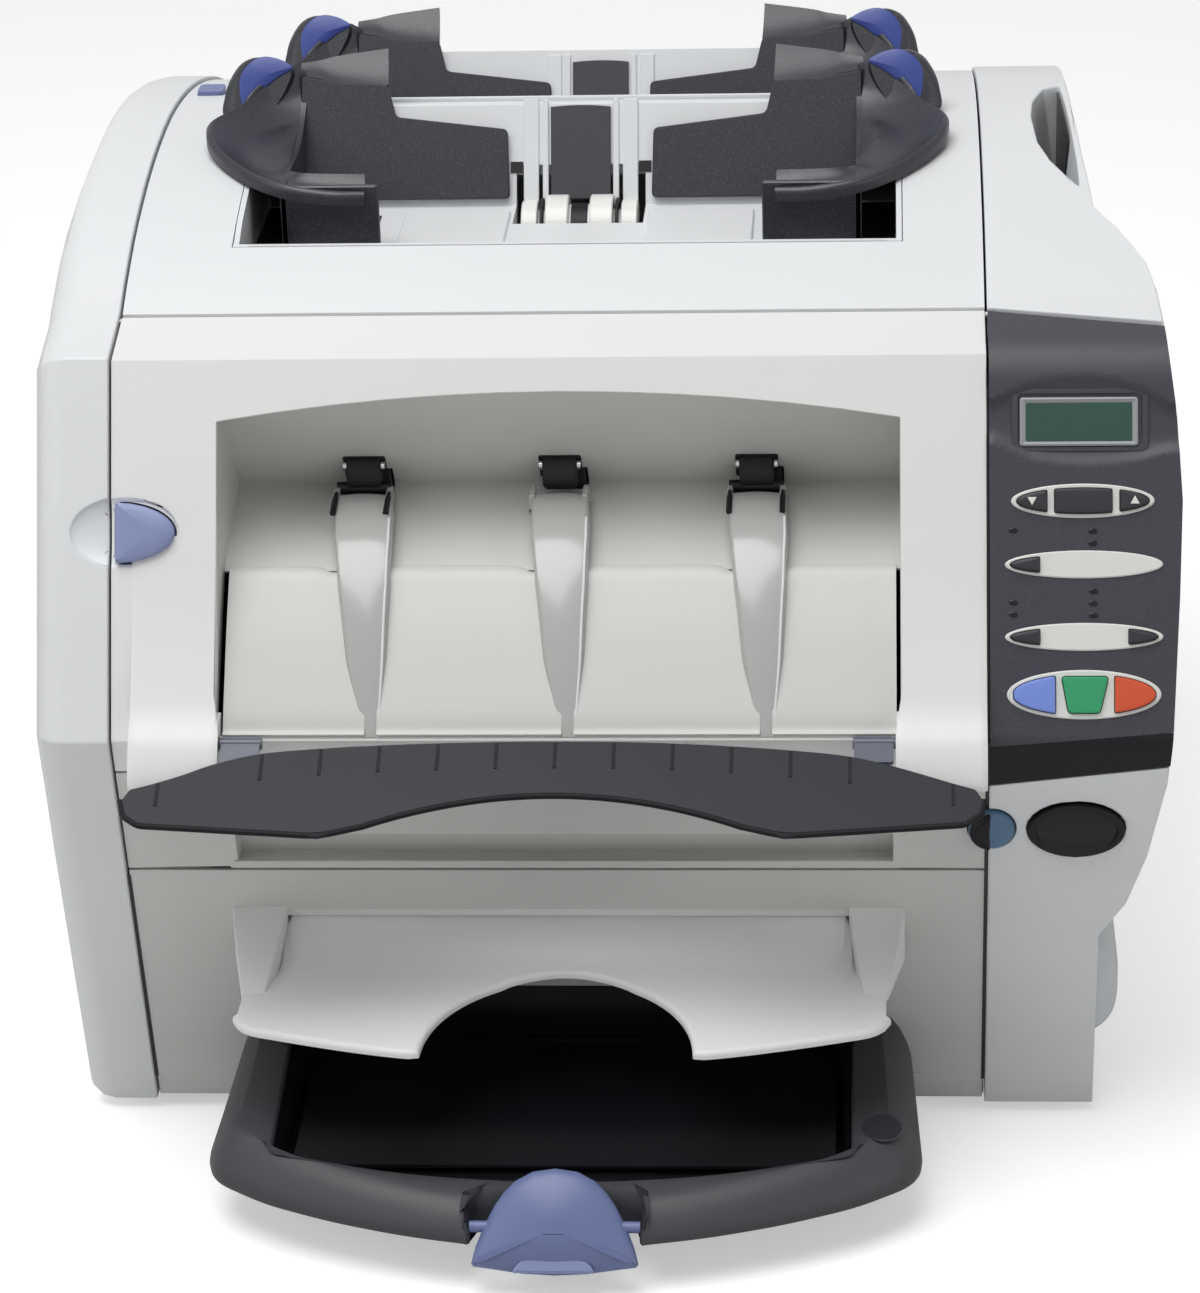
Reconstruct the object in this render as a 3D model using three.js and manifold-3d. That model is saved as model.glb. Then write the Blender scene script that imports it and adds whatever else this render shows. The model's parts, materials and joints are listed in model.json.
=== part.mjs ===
// Desk-top folding and inserting machine.
// Millimetres, +Z up. X = 0 is the centre line of the paper path, Y = 0 the foremost line of the
// front face, +Y to the rear, Z = 0 the table. The finished group is moved so that its origin is the
// middle of its footprint.
import * as THREE from 'three';
import { mergeVertices } from 'three/addons/utils/BufferGeometryUtils.js';
import Module from 'manifold-3d';

const wasm = await Module();
wasm.setup();

// Body
const footHeight = 6;
const noseHeight = 182;
const bodyDepth = 420;
const leftSeamX = -169.6;
const rightSeamX = 161.7;
const leftCoverWidth = 30.3;
const rightCoverWidth = 72;
const rightBaseWidth = 43;
const undercut = 36;
const creaseBack = 63;
const creaseHeight = 130;
const seamBack = 93;
const seamHeight = 137;
const crownHeight = 171;
const rearLean = 8;
const sideProud = 1.6;

// Walls, gaps and overruns
const wall = 3;
const thinWall = 2.2;
const seamGap = 0.9;
const gap = 0.3;
const runGap = 0.8;
const overrun = 5;
const coverRound = 13;

// Front door and exit chamber, the heights measured up the leaning front face
const exitHalfWidth = 129;
const exitSideHeight = 121;
const exitMidHeight = 131.5;
const exitSill = 2;
const exitFloorBack = 95;
const exitFloorHeight = 66;
const apronTopBack = 46;
const apronTopHeight = 50;
const doorFootWidth = 33.5;
const doorFootForward = 17;
const doorFootDrop = 13;
const fingerPitch = 76;
const fingerTopWidth = 23.6;
const fingerTipWidth = 9.4;
const exitRollerRadius = 10;
const exitRollerWidth = 15;
const exitShaftRadius = 3;
const doorButtonWidth = 23;
const doorButtonHeight = 23;
const doorButtonSlope = 79;
const doorButtonProud = 4;
const doorButtonRound = 1;
const dishOffSeam = 6.1;
const dishHalfWidth = 21;
const dishHalfHeight = 13.5;
const dishDeep = 4;
const dishShallow = 1.8;
const doorSkirt = 14;
const hingeRadius = wall / 2;
const hingePinRadius = 1;
const hingePinLength = 4;
const exitShaftBehind = 5.5;
const exitShaftAbove = 5;
const exitLugRadius = 7;
const windowRoom = 1.5;
const fingerHeight = 100;
const footOuterX = 160.8;

// Smoked flap
const flapHalfWidth = 157.5;
const flapShift = -1.2;
const flapDepth = 28.5;
const flapArc = 23.8;
const flapTipDepth = 47;
const flapTipX = 86;
const flapTilt = THREE.MathUtils.degToRad(25);
const flapThickness = 2;
const flapPinX = 121;
const flapPinLength = 10;
const flapPinRadius = 2.4;
const flapPinDeep = 4;
const flapPinY = -4;
const flapPinZ = 1;
const flapBack = -3;
const flapUp = 3.5;
const flapEndDepth = 36;
const flapEndOut = 3;
const flapArchHalf = 70;
const flapArchDepth = 43;

// Middle and lower cover, measured down from the nose, and manual shelf, its heights from the table
const middleDrop = 61;
const gripHalfWidth = 126;
const gripTop = 44;
const gripBottom = 57;
const gripDepth = 9;
const shelfRoof = 98;
const shelfFloor = 81;
const shelfHalfWidth = 123.4;
const shelfForward = 36;
const shelfTipForward = 58;
const shelfTipHalf = 53;
const shelfBackY = 62;
const shelfThickness = 3;
const cheekOuter = 130;
const cheekInner = 112;
const shelfRibs = 10;
const shelfRibWidth = 1.4;
const shelfRibDrop = 6;
const shelfRibRun = 11;

// Sheet tray
const trayBackHalf = 132;
const trayFrontHalf = 137;
const trayForward = 90;
const trayPocketHalf = 110;
const trayBackTop = 51;
const trayFrontTop = 36;
const trayLip = 19;
const trayFrontRim = 24;
const traySideRim = 5;
const trayBow = 7;
const traySideBow = 12;
const trayPocketBow = 6;
const trayFloorRise = 6;
const tonguePinRadius = 2.5;
const tonguePinDeep = 3.5;
const tonguePinY = -90;
const tonguePinZ = 25;
const tongueFootY = -97;
const tongueFootZ = 14;
const tongueLeanRun = 20;
const tongueLeanRise = 32;
const scoopHalf = 13;
const scoopHeight = 4;
const plateSheet = 1.5;
const plateBackY = 40;
const plateFrontY = -48;
const trayHoleRoom = 12;
const trayBackY = 60;
const notchHalf = 32;
const notchDepth = 9;
const tongueHalf = 30.6;
const tongueHeight = 36;
const tongueThickness = 7;
const plateHalf = 104;

// Hoppers
const wellHalfWidth = 130.5;
const wellFrontY = 127;
const wellFloorHeight = 138;
const deckFootY = 216;
const deckTopY = 233;
const deckTopHeight = 175.5;
const rearSeamY = bodyDepth - 4 * wall;
const wellDepth = deckTopY + wall - wellFrontY;
const insertShare = 0.3016;
const insertShiftY = wellDepth + (rearSeamY - wellFrontY - 2 * wellDepth) * insertShare;
const insertShiftZ = -20;
const insertNarrow = 8;
const insertRaise = 11;
const deckRaise = deckTopHeight - crownHeight;
const labelHalf = 12.6;
const feedRollerRadius = 15;
const feedRollerWidth = 9;
const feedHubRadius = 9;
const feedRollerPitch = 18;
const guideX = 114.6;
const guideWall = 2.2;
const guideFlange = 39;
const guideFrontY = 155;
const guideWingInner = 29;
const guideRise = 12.5;
const guideApexHeight = deckTopHeight + guideRise;
const guideRimX = 148.6;
const guideRimY = 198;
const guideRimRise = 19;
const petalWidth = 21;
const petalHeight = 19;
const petalThickness = 3;
const capWidth = 28;
const capHeight = 21;
const capProud = 1.2;

// Control panel, on the leaning face right of the seam
const panelThickness = 4;
const panelDrop = 20;
const panelSlant = 9;
const panelBackOff = 2;
const panelTopSlant = 11;
const keyTravel = 1.2;
const displaySunk = 1;
const keyProud = 1.6;
const keyMid = rightSeamX + rightCoverWidth / 2 - seamGap;
const menuKeyOff = 19.4;
const sideKeyOff = 22;
const startKeyOff = 18.8;
const startKeyExtra = 1.5;
const menuHeight = 89.2;
const feederHeight = 65.7;
const sealHeight = 38.8;
const startHeight = 17.2;
const smallKeyWidth = 10.6;
const smallKeyHeight = 8;
const wideKeyWidth = 20.6;
const largeKeyWidth = 15.6;
const largeKeyHeight = 14;
const displayWidth = 39;
const displayHeight = 13.8;
const displayMid = 118.7;
const displayOff = 1.3;
const displayX = keyMid - displayOff;

// Small pieces
const latchRadius = 9;
const latchLength = 7;
const latchDrop = 40.5;
const windowRadius = 18.5;
const windowTall = 12.5;
const windowX = 195;
const topButtonWidth = 11;
const topButtonX = -159;
const topButtonY = 279;
const topButtonZ = 166;
const topButtonProud = 4;
const topButtonDeep = 6.5;
const topButtonFlange = 1;
const topButtonTravel = 2;
const latchOffSeam = 1.5;
const latchGroove = 1;
const latchGrooveHalf = 6;
const latchProud = 2;
const windowDepth = 4;
const bottleHeight = 48;
const bottleZ = 51;
const bottleLength = 66;
const bottleFrontY = 42;
const bottleIn = 34;
const bottleOut = 14;
const footRadius = 11;
const footInset = 26;

// Carcass
const sidePlateOff = 5;
const plateInset = 9;
const plateThickness = 2;
const pan = 2.5;
const foldRollerRadius = 14;
const foldShaftRadius = 5;
const foldRollerBack = 85;
const foldRollerUp = 10;
const foldUnitLow = 46;
const foldUnitClear = 18;
const foldUnitTop = noseHeight + wellFloorHeight + insertShiftZ - foldUnitClear;
const foldUnitBack = 300;
const foldUnitSlope = 40;
const foldUnitRoom = 20;
const foldUnitWall = 4;
const plateHoleRadius = 24;

const lean = Math.atan2(creaseBack, creaseHeight);
const rightOuterX = rightSeamX + rightCoverWidth;
const baseZ = footHeight + gap;
const arcSteps = 12;
const bevelSteps = 4;
const roundSteps = 24;

// Geometry helpers
const mergeTolerance = 1e-4;
const sharpestShare = 0.4;
const v2 = (x, y) => new THREE.Vector2(x, y);
const v3 = (x, y, z) => new THREE.Vector3(x, y, z);

function toSolid(geometry) {
  const bare = geometry.clone();
  bare.deleteAttribute('normal');
  bare.deleteAttribute('uv');
  const merged = mergeVertices(bare, mergeTolerance);
  const index = merged.index.array;
  const kept = [];
  for (let i = 0; i < index.length; i += 3) {
    const [a, b, c] = [index[i], index[i + 1], index[i + 2]];
    if (a !== b && b !== c && c !== a) kept.push(a, b, c);
  }
  const mesh = new wasm.Mesh({
    numProp: 3,
    vertProperties: new Float32Array(merged.attributes.position.array),
    triVerts: new Uint32Array(kept),
  });
  return new wasm.Manifold(mesh);
}

function toGeometry(solid) {
  const mesh = solid.getMesh();
  const geometry = new THREE.BufferGeometry();
  const stride = mesh.numProp;
  const count = mesh.vertProperties.length / stride;
  const positions = new Float32Array(count * 3);
  for (let i = 0; i < count; i += 1) {
    for (let axis = 0; axis < 3; axis += 1) {
      positions[i * 3 + axis] = mesh.vertProperties[i * stride + axis];
    }
  }
  geometry.setAttribute('position', new THREE.BufferAttribute(positions, 3));
  geometry.setIndex(new THREE.BufferAttribute(new Uint32Array(mesh.triVerts), 1));
  const flat = geometry.toNonIndexed();
  flat.computeVertexNormals();
  return flat;
}

function extruded(points, depth, matrix, bevel = null) {
  const options = { depth, bevelEnabled: false, steps: 1 };
  if (bevel) {
    Object.assign(options, {
      bevelEnabled: true,
      bevelSize: bevel,
      bevelOffset: -bevel,
      bevelThickness: bevel,
      bevelSegments: bevelSteps,
    });
  }
  const geometry = new THREE.ExtrudeGeometry(new THREE.Shape(points), options);
  geometry.applyMatrix4(matrix);
  return toSolid(geometry);
}

// A side profile in (Y, Z), extruded along X
function alongX(points, fromX, toX, bevel = null) {
  const matrix = new THREE.Matrix4().makeBasis(v3(0, 1, 0), v3(0, 0, 1), v3(1, 0, 0));
  matrix.setPosition(fromX + (bevel ?? 0), 0, 0);
  return extruded(points, toX - fromX - 2 * (bevel ?? 0), matrix, bevel);
}

// A front outline in (X, Z), extruded along Y
function alongY(points, fromY, toY) {
  const matrix = new THREE.Matrix4().makeBasis(v3(1, 0, 0), v3(0, 0, 1), v3(0, -1, 0));
  matrix.setPosition(0, toY, 0);
  return extruded(points, toY - fromY, matrix);
}

// A plan outline in (X, Y), extruded up
function alongZ(points, fromZ, toZ, bevel = null) {
  const matrix = new THREE.Matrix4().setPosition(0, 0, fromZ + (bevel ?? 0));
  return extruded(points, toZ - fromZ - 2 * (bevel ?? 0), matrix, bevel);
}

// An outline on the leaning front face: x along X, y up the slope, extruded outwards
function faceMatrix() {
  const up = v3(0, Math.sin(lean), Math.cos(lean));
  return new THREE.Matrix4().makeBasis(v3(1, 0, 0), up, v3(0, -up.z, up.y));
}

function onFace(points, fromOut, toOut, bevel = null) {
  const start = facePoint(0, fromOut + (bevel ?? 0));
  const matrix = faceMatrix().setPosition(0, start.x, start.y);
  return extruded(points, toOut - fromOut - 2 * (bevel ?? 0), matrix, bevel);
}

function box(x0, x1, y0, y1, z0, z1) {
  const geometry = new THREE.BoxGeometry(x1 - x0, y1 - y0, z1 - z0);
  geometry.translate((x0 + x1) / 2, (y0 + y1) / 2, (z0 + z1) / 2);
  return toSolid(geometry);
}

function rod(x0, x1, y, z, radius, segments = roundSteps) {
  const geometry = new THREE.CylinderGeometry(radius, radius, x1 - x0, segments);
  geometry.rotateZ(Math.PI / 2);
  geometry.translate((x0 + x1) / 2, y, z);
  return toSolid(geometry);
}

// The piece without its neighbour and a clearance all round it
const axes = [v3(1, 0, 0), v3(0, 1, 0), v3(0, 0, 1)];

function clearOf(piece, neighbour, room = gap) {
  let result = piece;
  for (const axis of axes) {
    for (const move of [-room, room]) {
      result = result.subtract(neighbour.translate(axis.clone().multiplyScalar(move).toArray()));
    }
  }
  return result;
}

function mirrored(solid) {
  return solid.mirror([1, 0, 0]);
}

// A closed outline moved inwards, along the mean of the two edge normals at each corner
function inset(points, distance) {
  const count = points.length;
  return points.map((point, i) => {
    const before = points[(i + count - 1) % count];
    const after = points[(i + 1) % count];
    const first = point.clone().sub(before).normalize();
    const second = after.clone().sub(point).normalize();
    const normalA = v2(-first.y, first.x);
    const normalB = v2(-second.y, second.x);
    const mean = normalA.clone().add(normalB).normalize();
    const stretch = 1 / Math.max(mean.dot(normalA), sharpestShare);
    return point.clone().add(mean.multiplyScalar(distance * stretch));
  });
}

function ellipse(cx, cy, rx, ry, steps = roundSteps) {
  const points = [];
  for (let i = 0; i < steps; i += 1) {
    const angle = (i / steps) * 2 * Math.PI;
    points.push(v2(cx + rx * Math.cos(angle), cy + ry * Math.sin(angle)));
  }
  return points;
}

function roundedRect(x0, x1, y0, y1, radius, steps = bevelSteps) {
  const points = [];
  const corners = [[x1, y0, -1, 1], [x1, y1, -1, -1], [x0, y1, 1, -1], [x0, y0, 1, 1]];
  corners.forEach(([x, y, dx, dy], corner) => {
    for (let i = 0; i <= steps; i += 1) {
      const angle = ((corner - 1) + i / steps) * (Math.PI / 2);
      const arm = v2(Math.cos(angle), Math.sin(angle)).multiplyScalar(radius);
      points.push(arm.add(v2(x + dx * radius, y + dy * radius)));
    }
  });
  return points;
}

// A thin sheet between two space curves, closed by its own thickness along the given direction
function ruledSheet(curveA, curveB, thickness, steps, across) {
  const grid = [];
  for (let i = 0; i <= steps; i += 1) {
    const a = curveA.getPoint(i / steps);
    const b = curveB.getPoint(i / steps);
    const row = [];
    for (let j = 0; j <= across; j += 1) {
      const sag = 1 - (2 * j / across - 1) ** 2;
      row.push(a.clone().lerp(b, j / across).add(v3(0, 0, -sag * thickness)));
    }
    grid.push(row);
  }
  const positions = [];
  const index = [];
  const at = (layer, i, j) => (layer * (steps + 1) + i) * (across + 1) + j;
  for (const layer of [0, 1]) {
    for (let i = 0; i <= steps; i += 1) {
      for (let j = 0; j <= across; j += 1) {
        const p = grid[i][j];
        positions.push(p.x, p.y, p.z - layer * thickness);
      }
    }
  }
  const quad = (a, b, c, d) => index.push(a, b, c, a, c, d);
  for (let i = 0; i < steps; i += 1) {
    for (let j = 0; j < across; j += 1) {
      quad(at(0, i, j), at(0, i + 1, j), at(0, i + 1, j + 1), at(0, i, j + 1));
      quad(at(1, i, j), at(1, i, j + 1), at(1, i + 1, j + 1), at(1, i + 1, j));
    }
    quad(at(0, i, 0), at(1, i, 0), at(1, i + 1, 0), at(0, i + 1, 0));
    quad(at(0, i, across), at(0, i + 1, across), at(1, i + 1, across), at(1, i, across));
  }
  for (let j = 0; j < across; j += 1) {
    quad(at(0, 0, j), at(0, 0, j + 1), at(1, 0, j + 1), at(1, 0, j));
    quad(at(0, steps, j), at(1, steps, j), at(1, steps, j + 1), at(0, steps, j + 1));
  }
  const geometry = new THREE.BufferGeometry();
  geometry.setAttribute('position', new THREE.Float32BufferAttribute(positions, 3));
  geometry.setIndex(index);
  const solid = toSolid(geometry);
  if (solid.volume() >= 0) return solid;
  const turned = [];
  for (let i = 0; i < index.length; i += 3) turned.push(index[i], index[i + 2], index[i + 1]);
  geometry.setIndex(turned);
  return toSolid(geometry);
}

// Side profile of the body: shares of the run from the door seam to the rear, and of the rise to the crown
const archShares = [
  [0, 0], [0.06, 0.28], [0.15, 0.6], [0.28, 0.88], [0.43, 1],
  [0.57, 0.9], [0.7, 0.66], [0.83, 0.3], [0.94, -0.12],
];
const rearTopShare = -0.75;

function archPoint(share) {
  const [along, rise] = share;
  const y = seamBack + along * (bodyDepth - seamBack);
  const z = noseHeight + seamHeight + rise * (crownHeight - seamHeight);
  return v2(y, z);
}

function bodyOutline() {
  const arch = new THREE.SplineCurve(archShares.map(archPoint)).getPoints(arcSteps * 2).reverse();
  return [
    v2(undercut, baseZ),
    v2(bodyDepth - rearLean, baseZ),
    archPoint([1, rearTopShare]),
    ...arch,
    v2(creaseBack, noseHeight + creaseHeight),
    v2(0, noseHeight),
  ];
}

const outline = bodyOutline();
const fromX = leftSeamX + seamGap / 2;
const toX = rightSeamX - seamGap / 2;
const bodySolid = alongX(outline, fromX, toX);
const bodyShell = bodySolid.subtract(alongX(inset(outline, wall), fromX - overrun, toX + overrun));

// The side covers seen from the front: how far each reaches out at each height
const podShares = [
  [0.6, 0], [0.6, 0.24], [0.74, 0.285], [0.84, 0.35], [0.93, 0.45], [0.955, 0.54], [0.985, 0.65],
  [1, 0.74], [0.975, 0.82], [0.925, 0.893], [0.88, 0.93], [0.8, 0.97], [0.7, 1.02],
];
const leftShares = [[0.92, 0], [1, 0.53], [1, 0.9], [0.95, 0.945], [0.85, 0.99], [0.8, 1.02]];

function coverOutline(shares, seamX, width, innerX) {
  const height = noseHeight + crownHeight - baseZ;
  const outer = shares.map(([out, up]) => v2(seamX + out * width, baseZ + up * height));
  const foot = v2(outer[0].x, baseZ - overrun);
  return [v2(innerX, baseZ - overrun), foot, ...outer, v2(innerX, outer.at(-1).y)];
}

// The right cover seen from above: its control end reaches further out than the rest
const podPlanShares = [
  [1, -1], [1, 0.12], [0.97, 0.17], [0.915, 0.217], [0.896, 0.238], [0.851, 0.269], [0.793, 0.287],
  [0.704, 0.315], [0.635, 0.333], [0.594, 0.345], [0.553, 0.436], [0.524, 0.543], [0.51, 0.68], [0.5, 1.1],
];

function podSolid(thinner, innerX) {
  const width = rightCoverWidth - thinner;
  const front = alongY(coverOutline(podShares, rightSeamX, width, innerX), -bodyDepth, farBack);
  const reach = ([out, back]) => v2(rightSeamX + out * width, back * bodyDepth);
  const plan = [v2(innerX, bodyDepth + overrun), v2(innerX, -bodyDepth), ...podPlanShares.map(reach)];
  return front.intersect(alongZ(plan, -bodyDepth, farUp));
}

function rectangle(x0, x1, y0, y1) {
  return [v2(x0, y0), v2(x1, y0), v2(x1, y1), v2(x0, y1)];
}

// A point of a side profile, its height measured from the nose
const rel = (y, z) => v2(y, noseHeight + z);

// Depth of the front skin at a height below the nose
function frontSkin(drop) {
  return undercut * drop / (noseHeight - baseZ);
}

// Side covers
const farBack = 2 * bodyDepth;
const farUp = 3 * noseHeight;

function leftSideCover() {
  const outerX = leftSeamX - leftCoverWidth;
  const innerX = leftSeamX - seamGap / 2;
  const whole = alongX(inset(outline, -sideProud), outerX, innerX + coverRound + overrun, coverRound);
  const cut = box(outerX - overrun, innerX, -bodyDepth, farBack, -overrun, farUp);
  const hollow = alongX(inset(outline, wall + coverRound / 3), outerX + wall, innerX + overrun);
  const front = (width, x) => alongY(coverOutline(leftShares, leftSeamX, -width, x), -bodyDepth, farBack);
  const solid = whole.intersect(cut).intersect(front(leftCoverWidth, innerX + overrun));
  const inside = hollow.intersect(front(leftCoverWidth - wall, innerX + 2 * overrun));
  return solid.subtract(inside).subtract(hingePin(gap)).subtract(buttonDish(sideProud, dishDeep));
}

function rightSideCover() {
  const innerX = rightSeamX + seamGap / 2;
  const farX = rightOuterX + overrun;
  const solid = alongX(inset(outline, -sideProud), innerX, farX).intersect(podSolid(0, innerX));
  const hollow = alongX(inset(outline, wall + panelThickness), innerX - overrun, farX);
  const cuts = [handHollow(0), panelBlank(gap), latchBore(gap), windowPlate(gap), bottleBay(), hingePin(gap)];
  let cover = solid.subtract(hollow.intersect(podSolid(wall, innerX - overrun)));
  cover = cover.add(handHollow(thinWall).intersect(solid));
  for (const cut of cuts) cover = cover.subtract(cut);
  return cover;
}

// A hollow for the hand behind the edge of the right cover: a wide mouth that narrows to a slot
const handMouthShares = [
  [0.47, 0.635], [0.371, 0.619], [0.303, 0.569], [0.285, 0.526], [0.301, 0.468], [0.365, 0.425],
  [0.468, 0.386], [0.535, 0.368], [0.515, 0.44], [0.49, 0.543],
];
const handSlotShares = [[0.46, 0.6], [0.42, 0.58], [0.41, 0.5], [0.43, 0.43], [0.49, 0.41], [0.47, 0.52]];

function handHollow(thicker) {
  const reach = ([out, back]) => v2(rightSeamX + out * rightCoverWidth, back * bodyDepth);
  const ring = (shares, z) => inset(shares.map(reach), -thicker).map((point) => [point.x, point.y, z]);
  const slot = ring(handSlotShares, noseHeight + creaseHeight - thicker);
  return wasm.Manifold.hull([...slot, ...ring(handMouthShares, noseHeight + crownHeight + wall)]);
}

// The panel follows the front from below the nose over the crease to the seam of the door
function panelBlank(room) {
  const x0 = rightSeamX + seamGap / 2 - room;
  const farX = rightOuterX + overrun;
  const proud = room > 0 ? sideProud + overrun : sideProud;
  const skin = alongX(inset(outline, -proud), x0, farX);
  const back = alongX(inset(outline, panelThickness + room), x0 - overrun, farX + overrun);
  const low = noseHeight - panelDrop - room;
  const rear = seamBack - panelBackOff + room;
  const outerX = rightOuterX + room;
  const front = alongY(
    [v2(x0, low), v2(outerX, low + panelSlant), v2(outerX, farUp), v2(x0, farUp)], -bodyDepth, farBack,
  );
  const plan = alongZ(
    [v2(x0, -bodyDepth), v2(outerX, -bodyDepth), v2(outerX, rear - panelTopSlant), v2(x0, rear)], 0, farUp,
  );
  return skin.subtract(back).intersect(front).intersect(plan).intersect(podSolid(-room, x0));
}

// Hoppers: wells in the top cover
function hopperCut(shiftY, shiftZ) {
  const floorZ = noseHeight + wellFloorHeight + shiftZ - 2 * wall;
  return box(-wellHalfWidth, wellHalfWidth, wellFrontY + shiftY, deckTopY + wall + shiftY, floorZ, farUp);
}

function wellTub(shiftY, shiftZ, raised) {
  const floorZ = noseHeight + wellFloorHeight + shiftZ;
  const topZ = noseHeight + 2 * crownHeight;
  const lift = (topZ - floorZ) * (deckTopY - deckFootY) / (deckTopHeight - wellFloorHeight);
  const front = wellFrontY + shiftY + gap;
  const foot = deckFootY + shiftY;
  const outerX = wellHalfWidth - gap;
  const profile = (y0, y1, z) => [v2(y0, z), v2(y1, z), v2(y1 + lift, topZ), v2(y0, topZ)];
  const outer = profile(front, foot + wall, floorZ - wall);
  const inner = profile(front + thinWall, foot, floorZ);
  const cut = hopperCut(shiftY, shiftZ - 2 * wall);
  const blank = alongX(outer, -outerX, outerX).intersect(bodySolid).intersect(cut);
  const hump = alongX(outer, -outerX + 2 * wall, outerX - 2 * wall);
  const raisedSkin = alongX(inset(outline, -raised), -farBack, farBack);
  const room = alongX(inner, -outerX + thinWall, outerX - thinWall);
  const tub = blank.add(hump.intersect(raisedSkin).intersect(cut)).subtract(room);
  return addRollerSeat(tub, shiftY, shiftZ);
}

const rollerBackFromFoot = 7;
const rollerDip = 9;
const rollerOpeningHalf = 26.4;

function rollerAxis(shiftY, shiftZ) {
  return v2(deckFootY - rollerBackFromFoot + shiftY, noseHeight + wellFloorHeight + shiftZ - rollerDip);
}

function addRollerSeat(tub, shiftY, shiftZ) {
  const axis = rollerAxis(shiftY, shiftZ);
  const floorZ = noseHeight + wellFloorHeight + shiftZ;
  const half = rollerOpeningHalf;
  const reach = feedRollerRadius + runGap;
  const lug = [
    v2(axis.x - feedHubRadius, floorZ - wall / 2),
    v2(axis.x, axis.y - feedHubRadius),
    v2(axis.x + feedHubRadius, floorZ - wall / 2),
  ];
  const opening = box(
    -half, half, axis.x - reach, axis.x + reach, floorZ - 2 * overrun, floorZ + feedRollerRadius,
  );
  let seat = tub.subtract(opening);
  for (const x of [-half - thinWall, half]) seat = seat.add(alongX(lug, x, x + thinWall));
  return seat.subtract(rod(-half * 2, half * 2, axis.x, axis.y, exitShaftRadius + gap));
}

function feedRollers(shiftY, shiftZ) {
  const axis = rollerAxis(shiftY, shiftZ);
  const half = rollerOpeningHalf;
  const shaft = rod(-half - thinWall, half + thinWall, axis.x, axis.y, exitShaftRadius);
  let rollers = shaft.add(rod(-half + runGap, half - runGap, axis.x, axis.y, feedHubRadius));
  for (const side of [-1, 1]) {
    const x = (side * feedRollerPitch - feedRollerWidth) / 2;
    rollers = rollers.add(rod(x, x + feedRollerWidth, axis.x, axis.y, feedRollerRadius));
  }
  return rollers;
}

// The leaning deck of a hopper: x across, y up the deck, extruded forwards
function onDeck(points, fromOut, toOut, shiftY, shiftZ) {
  const run = deckTopY - deckFootY;
  const rise = deckTopHeight - wellFloorHeight;
  const up = v3(0, run, rise).normalize();
  const out = v3(0, -up.z, up.y);
  const matrix = new THREE.Matrix4().makeBasis(v3(1, 0, 0), up, out);
  const foot = v3(0, deckFootY + shiftY, noseHeight + wellFloorHeight + shiftZ);
  matrix.setPosition(foot.add(out.multiplyScalar(fromOut)));
  return extruded(points, toOut - fromOut, matrix);
}

const labelLow = 7;
const labelHigh = 34;
const labelThickness = 1.2;

function labelPlate(shiftY, shiftZ, low, high) {
  const points = roundedRect(-labelHalf, labelHalf, low, high, thinWall);
  return onDeck(points, gap, gap + labelThickness, shiftY, shiftZ);
}

// Hopper guide, right side; the left one is its mirror image
const wingTopShares = [[0.26, 0.572], [0.66, 0.675], [0.688, 0.925], [0.86, 0.94]];
const rimShares = [
  [0.544, 0, -0.215], [0.63, -0.047, -0.173], [0.743, 0, -0.079], [0.84, 0.209, 0.017], [0.918, 0.488, 0.156],
  [0.968, 0.767, 0.305], [0.987, 0.977, 0.434], [0.984, 1.186, 0.514], [0.921, 1.512, 0.601],
  [0.891, 1.674, 0.813], [0.848, 1.814, 1.039], [0.792, 1.93, 1.161],
];
const collarShares = [
  [0.547, 0.186, 0.009], [0.636, 0.186, 0.017], [0.723, 0.233, 0.018], [0.765, 0.5, -0.08],
  [0.771, 1.072, -0.121], [0.771, 1.504, 0.124], [0.771, 1.782, 0.489],
  [0.765, 1.9, 0.85], [0.758, 1.93, 1.02],
];
const flareRearShares = [
  [0.775, 2.06, 1.12], [0.72, 2.12, 1.15], [0.67, 2.14, 1.228], [0.536, 2.163, 1.36],
];
const flareFrontShares = [
  [0.771, 1.87, 0.97], [0.72, 1.87, 0.9], [0.664, 1.858, 0.805], [0.53, 1.847, 0.753],
];
const sideTopShares = [[0.5, -0.08], [1.072, -0.121], [1.504, 0.124], [1.782, 0.489], [1.87, 0.84]];
const petalPlaceShare = 0.888;
const petalSunkShare = 0.48;
const petalForward = 5;
const capPlaceShare = 0.91;
const wingLow = 2;
const wingTop = 53;
const flangeTop = 28;

// A point of the guide: shares of its reach, of its run to the outermost point and of its rise
function guidePoint([reachShare, runShare, riseShare]) {
  return v3(
    guideRimX * reachShare,
    guideFrontY + (guideRimY - guideFrontY) * runShare,
    noseHeight + guideApexHeight + guideRimRise * (riseShare - 1),
  );
}

function guideCurve(shares) {
  return new THREE.CatmullRomCurve3(shares.map(guidePoint));
}

function guideSheet(outerShares, innerShares, steps) {
  return ruledSheet(guideCurve(outerShares), guideCurve(innerShares), guideWall, steps, bevelSteps);
}

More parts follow.
